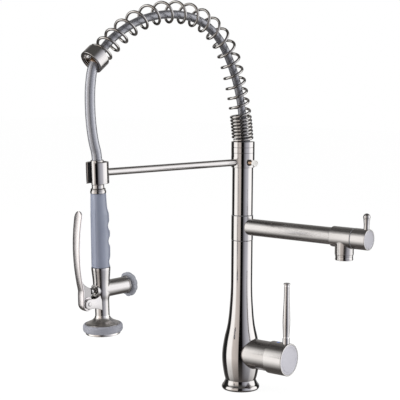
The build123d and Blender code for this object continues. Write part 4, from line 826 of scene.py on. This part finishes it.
spray = {"ferrule": ((7.36, 18.0, 0.2), (9.3, 18.0, 0.8), (9.3, -16.6, 0.3), (8.6, -17.2, 0.3), (8.9, -18.2, 0.3),
                     (8.9, -22.0, 0.1), (5.0, -22.0, 0), (5.0, 11.0, 0), (7.36, 11.0, 0)),
         "collar": ((8.1, -22.0, 0.1), (9.7, -22.0, 0.4), (10.9, -23.2, 0.6), (10.4, -24.2, 0.5),
                    (11.4, -26.0, 0.8), (11.4, -29.0, 0.4), (8.1, -29.0, 0.1))}
turnedPiece("sprayFerrule", spray["ferrule"], onSpray, "castNickel", "hand_spray", "spray_ferrule")
turnedPiece("sprayCollar", spray["collar"], onSpray, "castNickel", "hand_spray", "spray_collar")

grip = {"top": -29.0, "bottom": -135.5, "bore": 8.1, "offset": 2.2,
        "taper": ((-135.5, 13.3), (-60.0, 12.0), (-29.0, 11.0)), "flat": ((-130.5, 12.5), (-34.0, 10.6)),
        "palm": ((-135.5, 11.3), (-117.5, 12.3), (-86.0, 12.9), (-59.0, 12.2), (-46.0, 8.6), (-40.0, 4.0)),
        "notch": 12.0, "notchOut": 26.2, "notches": (-76.5, -98.5, -128.5), "rim": 0.9, "rimDepth": 0.7,
        "palmBlend": 0.15, "notchBlend": 0.12, "flatBlend": 0.05, "flatFrom": 0.3}


def softMax(first, second, blend):
    # The larger of two distances with a rounded step: their mean plus the root of a quarter of their squared
    # difference and the blend.
    return (first + second) / 2 + np.sqrt((first - second) ** 2 / 4 + blend)


def gripRings(rows=160, columns=144):
    # The grip's radius by turn a and height: the larger of a plain taper and a palm swell about an axis that is
    # offset to the column, less finger notches cut by circles, less a flat on the trigger's side.
    height = np.linspace(grip["top"], grip["bottom"], rows)[:, None]
    along, side = circle(columns)
    taper, palm, flat = (np.interp(height, *zip(*grip[part])) for part in ("taper", "palm", "flat"))
    offset, notch = grip["offset"], grip["notch"]
    swell = -offset * along + np.sqrt(np.maximum(palm ** 2 - (offset * side) ** 2, 0.01))
    radius = softMax(taper + 0 * along, swell, grip["palmBlend"])
    for place in grip["notches"]:
        drop = np.abs(height - place)
        cut = grip["notchOut"] - np.sqrt(np.maximum(notch ** 2 - drop ** 2, 0))
        wall = offset * along + np.sqrt(cut ** 2 - (offset * side) ** 2)
        radius = np.where(drop < notch, -softMax(-radius, -wall, grip["notchBlend"]), radius)
    facing = np.where(along > grip["flatFrom"], flat / np.maximum(along, 0.2), 99.0)
    radius = -softMax(-radius, -facing, grip["flatBlend"])
    edge = np.minimum(grip["top"] - height, height - grip["bottom"])
    radius = radius - grip["rimDepth"] * np.clip(1 - edge / grip["rim"], 0, 1) ** 2
    radius = np.vstack([radius, np.full((2, columns), grip["bore"])])
    place = np.vstack([height, [[grip["bottom"]], [grip["top"]]]])
    return inSpray(np.stack([radius * along, radius * side, place + 0 * radius], 2))


buildPiece("sprayGrip", [(gripRings(), "loop")], "gripRubber", "hand_spray", "spray_grip", 50.0)
print("grip made")

# Hand spray: valve body with its branch, plunger boss and two ears, its nut and the trigger's pivot

valve = {"line": -168.0, "bore": (8.1, -135.5), "inside": ((5.0, -211.8), (5.0, -146.0), (8.1, -146.0)),
         "side": ((13.7, -135.5, 0), (13.7, -138.6, 1.0), (12.0, -156.5, 6.0), (12.0, -176.0, 5.0),
                  (10.4, -182.0, 5.0), (10.4, -211.8, 0)),
         "branch": {"radius": 12.0, "fillet": 1.6, "limit": 12.0, "height": 0.0, "rim": rounded((
             (12.0, 26.0, 0), (12.0, 42.2, 0.5), (13.0, 42.8, 0.4), (13.0, 46.0, 0.6), (4.6, 46.0, 0.2),
             (4.6, 20.0, 0)))},
         "boss": {"radius": 9.0, "fillet": 0.8, "height": 0.0, "rim": rounded((
             (9.0, 11.9, 0), (9.0, 12.4, 0.3), (3.1, 12.4, 0.1), (3.1, 6.0, 0)))},
         "ear": ((4.0, -172.5, 0.5), (10.0, -175.2, 3), (17.5, -178.2, 3), (24.0, -177.2, 2), (27.5, -177.2, 2),
                 (31.5, -177.8, 3), (34.4, -181.0, 3), (34.4, -187.4, 3), (31.5, -190.6, 3), (27.5, -191.2, 3),
                 (16.0, -192.2, 4), (4.0, -197.0, 0.5)), "earSides": ((4.4, 8.4), (-8.4, -4.4)), "earBevel": 0.6,
         "nut": 6.2, "nutBevel": 0.35, "nutFrom": 12.4, "nutTo": 13.9, "pivotOut": 27.5, "pivot": -184.2,
         "pinHead": ((0.3, -9.4, 0), (2.0, -9.3, 0.4), (3.0, -9.0, 0.3), (3.0, -8.45, 0.1), (2.4, -8.3, 0)),
         "pinNeck": (2.4, 8.3), "pinTip": ((2.9, 8.45, 0), (2.7, 8.95, 0.25), (0.3, 9.0, 0))}
valveSide = rounded(valve["side"], steps=6)


def onValveBody(side, height):
    # How far out the body's surface is at a side place and a height from the valve's line.
    radius = np.interp(-(height + valve["line"]), -valveSide[:, 1], valveSide[:, 0])
    return np.sqrt(np.maximum(radius ** 2 - side ** 2, 0))


def sprayBoss(boss, way):
    # A boss of the spray's body, along its outward direction or against it.
    return inSpray(bossRings(boss, onValveBody) * [way, 1, 1] + [0, 0, valve["line"]])


def crossPoint(side, height):
    # Place on the valve's cross axis: distance to the side and height from it.
    return inSpray([0, side, valve["line"] + height])


ears = [(plate(rounded(valve["ear"], steps=5, closed=True), sprayPoint, armAside, low, high,
               valve["earBevel"]), "plate")
        for low, high in valve["earSides"]]
valveOutline = np.vstack([[valve["bore"]], valveSide, valve["inside"]])
buildPiece("sprayBody", [(spun(valveOutline, *onSpray), "loop"), (sprayBoss(valve["branch"], -1), "last"),
                         (sprayBoss(valve["boss"], 1), "last"), *ears], "castNickel", "hand_spray", "spray_body")
hexOutline = rounded(valve["nut"] * np.stack(circle(6), 1), 0.4, 3, closed=True)
nut = plate(hexOutline, crossPoint, sprayOut, *(valve[part] for part in ("nutFrom", "nutTo", "nutBevel")))
buildPiece("packingNut", [(nut, "plate")], "castNickel", "hand_spray", "packing_nut")
pivotCentre = sprayPoint(valve["pivotOut"], valve["pivot"])
pinOutline = np.vstack([rounded(valve["pinHead"]), valve["pinNeck"], rounded(valve["pinTip"])])
turnedPiece("pivotPin", pinOutline, (pivotCentre, armAside, sprayUp), "castNickel", "hand_spray", "pivot_pin",
            "fan", 40)
print("spray body made")

# Trigger: long blade, its hub between the ears and the web that joins them

trigger = {"foot": (36.0, -165.0), "middle": (41.8, -112.0), "tip": (34.5, -51.0), "thick": 2.6, "crown": 0.5,
           "sink": 0.35, "halfTop": 8.6, "halfFoot": 7.0, "widenAt": -139.9, "wrap": 9.3, "wrapFrom": -115.0,
           "wrapHalf": 5.2, "rimHalf": 1.6, "lift": (6.0, 13.0), "webHalf": 3.4, "webBevel": 0.9,
           "squareness": (0.35, 0.6), "crownEnd": 0.12,
           "web": ((21.5, -163.0, 1.5), (20.4, -165.6, 1.5), (20.35, -169.5, 1.5), (21.2, -173.6, 2),
                   (19.4, -180.0, 3), (20.0, -188.0, 3), (27.5, -193.0, 3), (34.5, -190.0, 3), (36.6, -181.0, 4),
                   (37.2, -165.0, 4), (39.9, -150.0, 3), (40.6, -141.0, 0.5), (39.2, -141.0, 0.5),
                   (36.2, -150.0, 3), (31.0, -157.4, 4)),
           "hubSection": ((2.46, -4.0, 0.1), (9.5, -4.0, 0.7), (9.5, 4.0, 0.7), (2.46, 4.0, 0.1))}


def bladeRings(rows=60, wrapRows=16, capRows=14, columns=40):
    # Rings of the blade: a rounded section (across, through) goes round the pivot and up a circle through the
    # blade's foot, middle and tip; its half width grows evenly from foot to tip and ends in a half circle.
    foot, middle, tip = (np.array(trigger[part]) for part in ("foot", "middle", "tip"))
    centre = np.linalg.solve(2 * np.array([middle - foot, tip - foot]),
                             [middle @ middle - foot @ foot, tip @ tip - foot @ foot])
    reach = np.linalg.norm(foot - centre)
    halfTop, roundStart = trigger["halfTop"], tip[1] - trigger["halfTop"]
    height = np.concatenate([np.linspace(foot[1], roundStart, rows)[:-1],
                             roundStart + halfTop * np.sin(np.linspace(0, pi / 2 - trigger["crownEnd"], capRows))])
    half = np.interp(height, [trigger["widenAt"], roundStart], [trigger["halfFoot"], halfTop])
    half = half * np.sqrt(1 - np.clip((height - roundStart) / halfTop, 0, 1) ** 2)
    out = centre[0] + np.sqrt(reach ** 2 - (height - centre[1]) ** 2)
    facing = np.stack([out - centre[0], height - centre[1]], 1) / reach
    bend = np.radians([*np.linspace(trigger["wrapFrom"], 0, wrapRows), 0, 0])
    lift = np.array([0.0] * wrapRows + list(trigger["lift"]))
    wrap = np.stack([np.cos(bend), np.sin(bend)], 1)
    out = np.concatenate([valve["pivotOut"] + trigger["wrap"] * wrap[:, 0] - 0.02 * lift, out])[:, None]
    height = np.concatenate([valve["pivot"] + trigger["wrap"] * wrap[:, 1] + lift, height])[:, None]
    half = np.concatenate([np.linspace(trigger["wrapHalf"], trigger["halfFoot"], len(bend)), half])[:, None]
    facing = np.vstack([wrap, facing])
    across, through = (np.sign(part) * np.abs(part) ** power for part, power in zip(circle(columns),
                                                                                             trigger["squareness"]))
    rim = np.minimum(1, half / trigger["rimHalf"])
    depth = (trigger["thick"] / 2 * through + trigger["crown"] * (1 - across ** 2)) * rim - trigger["sink"]
    return inSpray(np.stack([out + depth * facing[:, :1], half * across, height + depth * facing[:, 1:]], 2))


hub = spun(rounded(trigger["hubSection"], closed=True), pivotCentre, armAside, sprayUp, 72)
web = plate(rounded(trigger["web"], steps=5, closed=True), sprayPoint, armAside, -trigger["webHalf"],
            trigger["webHalf"], trigger["webBevel"])
buildPiece("triggerLever", [(bladeRings(), "fan"), (hub, "loop")], "bladeNickel", "trigger", "trigger_lever")
# The web gets the darker nickel, which paints its shade.
buildPiece("triggerWeb", [(web, "plate")], "webNickel", "trigger")
print("trigger made")

# Flow knob on the branch: a disc with shallow scallops round it

knob = {"outline": ((4.6, 46.3, 0.2), (17.8, 46.3, 1.0), (17.8, 50.2, 2.2), (15.0, 54.5, 1.6), (9.0, 54.5, 0.4),
                    (8.4, 53.7, 0.4), (0.4, 53.7, 0)), "lobes": 10, "scallop": 0.9, "from": 12.0, "over": 3.0}


def knobRings(columns=200):
    # The knob's radius at a place along it, less a scallop that is a power of a cosine round the knob.
    outline = rounded(knob["outline"], steps=6)
    angle = np.linspace(0, 2 * pi, columns, endpoint=False)
    scallop = knob["scallop"] * (0.5 + 0.5 * np.cos(knob["lobes"] * angle)) ** 3
    outer = np.clip((outline[:, :1] - knob["from"]) / knob["over"], 0, 1)
    return turnedRings(outline[:, :1] - scallop * outer, outline[:, 1], crossPoint(0, 0), -sprayOut, armAside)


buildPiece("flowKnob", [(knobRings(), "fan")], "knobPlastic", "flow_control", "flow_knob")
print("knob made")

# Hand spray: bell, bumper ring and nozzle face

bell = {"inside": ((5.0, -211.8), (10.1, -211.8), (10.1, -205.2)),
        "dome": ((10.4, -205.0), (11.4, -208.4), (14.2, -211.6), (18.6, -214.4), (23.2, -216.6), (25.0, -218.8)),
        "rim": ((25.0, -228.0, 0), (25.0, -232.2, 0.9), (23.3, -232.2, 0.4), (22.54, -230.0, 0.2),
                (22.54, -221.0, 0.2), (5.0, -216.5, 0)),
        "bumper": ((25.05, -217.6, 0.2), (26.7, -217.6, 1.2), (28.7, -220.0, 1.6), (28.7, -226.3, 1.6),
                   (27.1, -228.7, 1.0), (25.05, -228.7, 0.2)),
        "face": ((22.4, -225.5, 0.1), (22.46, -230.0, 0.5), (20.8, -230.0, 0.3), (20.4, -229.5, 0.3),
                 (4.0, -229.5, 0.3), (3.6, -230.0, 0.3), (0.5, -230.0, 0)),
        "nozzle": ((1.5, -229.4, 0), (1.25, -230.6, 0.3), (0.7, -230.9, 0.2), (0.5, -230.2, 0.1), (0.1, -230.2, 0)),
        "nozzles": ((18, 19.0), (12, 13.0), (6, 7.0))}
# The bell's lighter nickel paints the bright reflection on its dome.
turnedPiece("sprayBell", np.vstack([bell["inside"], smooth(bell["dome"], 8, (0.05, -1), (0.3, -1)),
                                    rounded(bell["rim"])]), onSpray, "bellNickel", "hand_spray", "spray_bell",
            columns=120)
turnedPiece("bumperRing", bell["bumper"], onSpray, "bumperRubber", "hand_spray", "bumper_ring", columns=120, steps=6)
facePatches = [(spun(rounded(bell["face"]), *onSpray), "fan")]
for count, reach in bell["nozzles"]:
    for turn in 2 * pi * np.arange(count) / count:
        spot = inSpray([reach * cos(turn), reach * sin(turn), 0])
        facePatches.append((spun(rounded(bell["nozzle"], steps=2), spot, sprayUp, sprayOut, 12), "fan"))
buildPiece("sprayFace", facePatches, "facePlastic", "hand_spray", "spray_face")
print("bell made")

# Floor: pale paper that keeps the faucet's shadow and is seen white

studio = {"floorHalf": 6, "paper": (0.86, 0.86, 0.86, 1), "glow": 1.1, "glowShare": 0.82, "diffuse": 0.6,
          "mirror": 2.1, "ceiling": (0.06, 0.058, 0.056), "ceilingFrom": 0.46, "ceilingTo": 0.82,
          "ground": (0.06, 0.055, 0.052), "groundFrom": -0.22, "groundTo": -0.8,
          "bands": ((-180, (0.36, 0.35, 0.34)), (-150, (0.32, 0.31, 0.3)), (-138, (0.03, 0.03, 0.03)),
                    (-104, (0.03, 0.03, 0.03)), (-98, (2.0, 1.98, 1.96)),
                    (-66, (1.95, 1.93, 1.91)), (-56, (1.15, 1.06, 1.0)), (-20, (0.9, 0.82, 0.78)),
                    (-17, (0.005, 0.005, 0.005)), (6, (0.005, 0.005, 0.005)), (11, (0.22, 0.22, 0.25)),
                    (34, (0.72, 0.73, 0.82)), (58, (0.95, 0.96, 1.05)), (72, (1.9, 1.9, 1.96)),
                    (112, (2.1, 2.1, 2.1)), (119, (0.03, 0.03, 0.03)), (140, (0.03, 0.03, 0.03)),
                    (152, (0.3, 0.3, 0.32)), (180, (0.36, 0.35, 0.34)))}


def seenRays(tree):
    # 1 for rays that show a thing to the camera, straight, mirrored or through glass, and 0 for light; and 1 for
    # mirrored rays alone.
    rays = addNode(tree, "LightPath", {}).node.outputs
    others = mathNode(tree, "MAXIMUM", rays["Is Glossy Ray"], rays["Is Transmission Ray"])
    return mathNode(tree, "MAXIMUM", rays["Is Camera Ray"], others), rays["Is Glossy Ray"]


half = studio["floorHalf"]
floorMesh = bpy.data.meshes.new("floor")
floorMesh.from_pydata([(-half, -half, 0), (half, -half, 0), (half, half, 0), (-half, half, 0)], [], [(0, 1, 2, 3)])
floor = bpy.data.objects.new("floor", floorMesh)
tree, shader = startMaterial("floorPaper", Roughness=0.9, Base_Color=studio["paper"])
glow = addNode(tree, "Emission", {"Strength": studio["glow"]})
paper = addNode(tree, "MixShader", {0: product(tree, seenRays(tree)[0], studio["glowShare"]),
                                    1: shader.outputs[0], 2: glow})
tree.links.new(paper, tree.nodes["Material Output"].inputs[0])
floorMesh.materials.append(bpy.data.materials["floorPaper"])
floor.visible_glossy = False
bpy.context.scene.collection.objects.link(floor)

# Studio round the faucet: white to the camera, and upright bands of light and dark to the metal

world = bpy.data.worlds.new("studio")
bpy.context.scene.world = world
world.use_nodes = True
tree = world.node_tree
seen, mirrored = seenRays(tree)
turned = addNode(tree, "Mapping", {"Vector": addNode(tree, "TexCoord", {}, "Generated"),
                                   "Rotation": (0, 0, -cameraTurn)})
across, toward, rise = addNode(tree, "SeparateXYZ", {0: turned}).node.outputs
facing = mathNode(tree, "ARCTAN2", across, product(tree, toward, -1.0))
colour = addNode(tree, "ValToRGB", {"Fac": ranged(tree, facing, 0.0, 1.0, -pi, pi)})
stops = colour.node.color_ramp.elements
for index, (turn, band) in enumerate(studio["bands"]):
    place = (turn + 180) / 360
    stop = stops[index] if index < 1 else stops[-1] if index == len(studio["bands"]) - 1 else stops.new(place)
    stop.position = place
    stop.color = (*(part / studio["mirror"] for part in band), 1)
for part in ("ground", "ceiling"):
    share = ranged(tree, rise, 0.0, 1.0, studio[part + "From"], studio[part + "To"])
    colour = blendColours(tree, share, colour, studio[part])
backdrop = tree.nodes["Background"]
tree.links.new(blendColours(tree, mirrored, (1, 1, 1), colour), backdrop.inputs["Color"])
strength = mathNode(tree, "ADD", ranged(tree, seen, studio["diffuse"], 1.0),
                    product(tree, mirrored, studio["mirror"] - 1))
tree.links.new(strength, backdrop.inputs["Strength"])

# Soft lamps that light what isn't metal: turn to the right of the camera's side, distance, height, width, length
# and power of each

lamps = {"keyLamp": (-83.0, 1.3, 0.55, 0.75, 1.7, 11.0), "sideLamp": (97.0, 1.3, 0.5, 0.5, 1.5, 8.0),
         "topLamp": (-30.0, 0.4, 1.5, 0.9, 0.7, 5.0)}
for name, (turn, distance, height, width, tall, power) in lamps.items():
    light = bpy.data.lights.new(name, "AREA")
    light.shape = "RECTANGLE"
    light.size, light.size_y, light.energy = width, tall, power
    lamp = bpy.data.objects.new(name, light)
    side = cameraTurn + radians(turn)
    lamp.location = (sin(side) * distance, -cos(side) * distance, height)
    lamp.rotation_euler = (Vector((0, 0, 0.3)) - lamp.location).to_track_quat("-Z", "Y").to_euler()
    lamp.visible_glossy = False
    bpy.context.scene.collection.objects.link(lamp)

bpy.context.scene.view_settings.view_transform = "Standard"
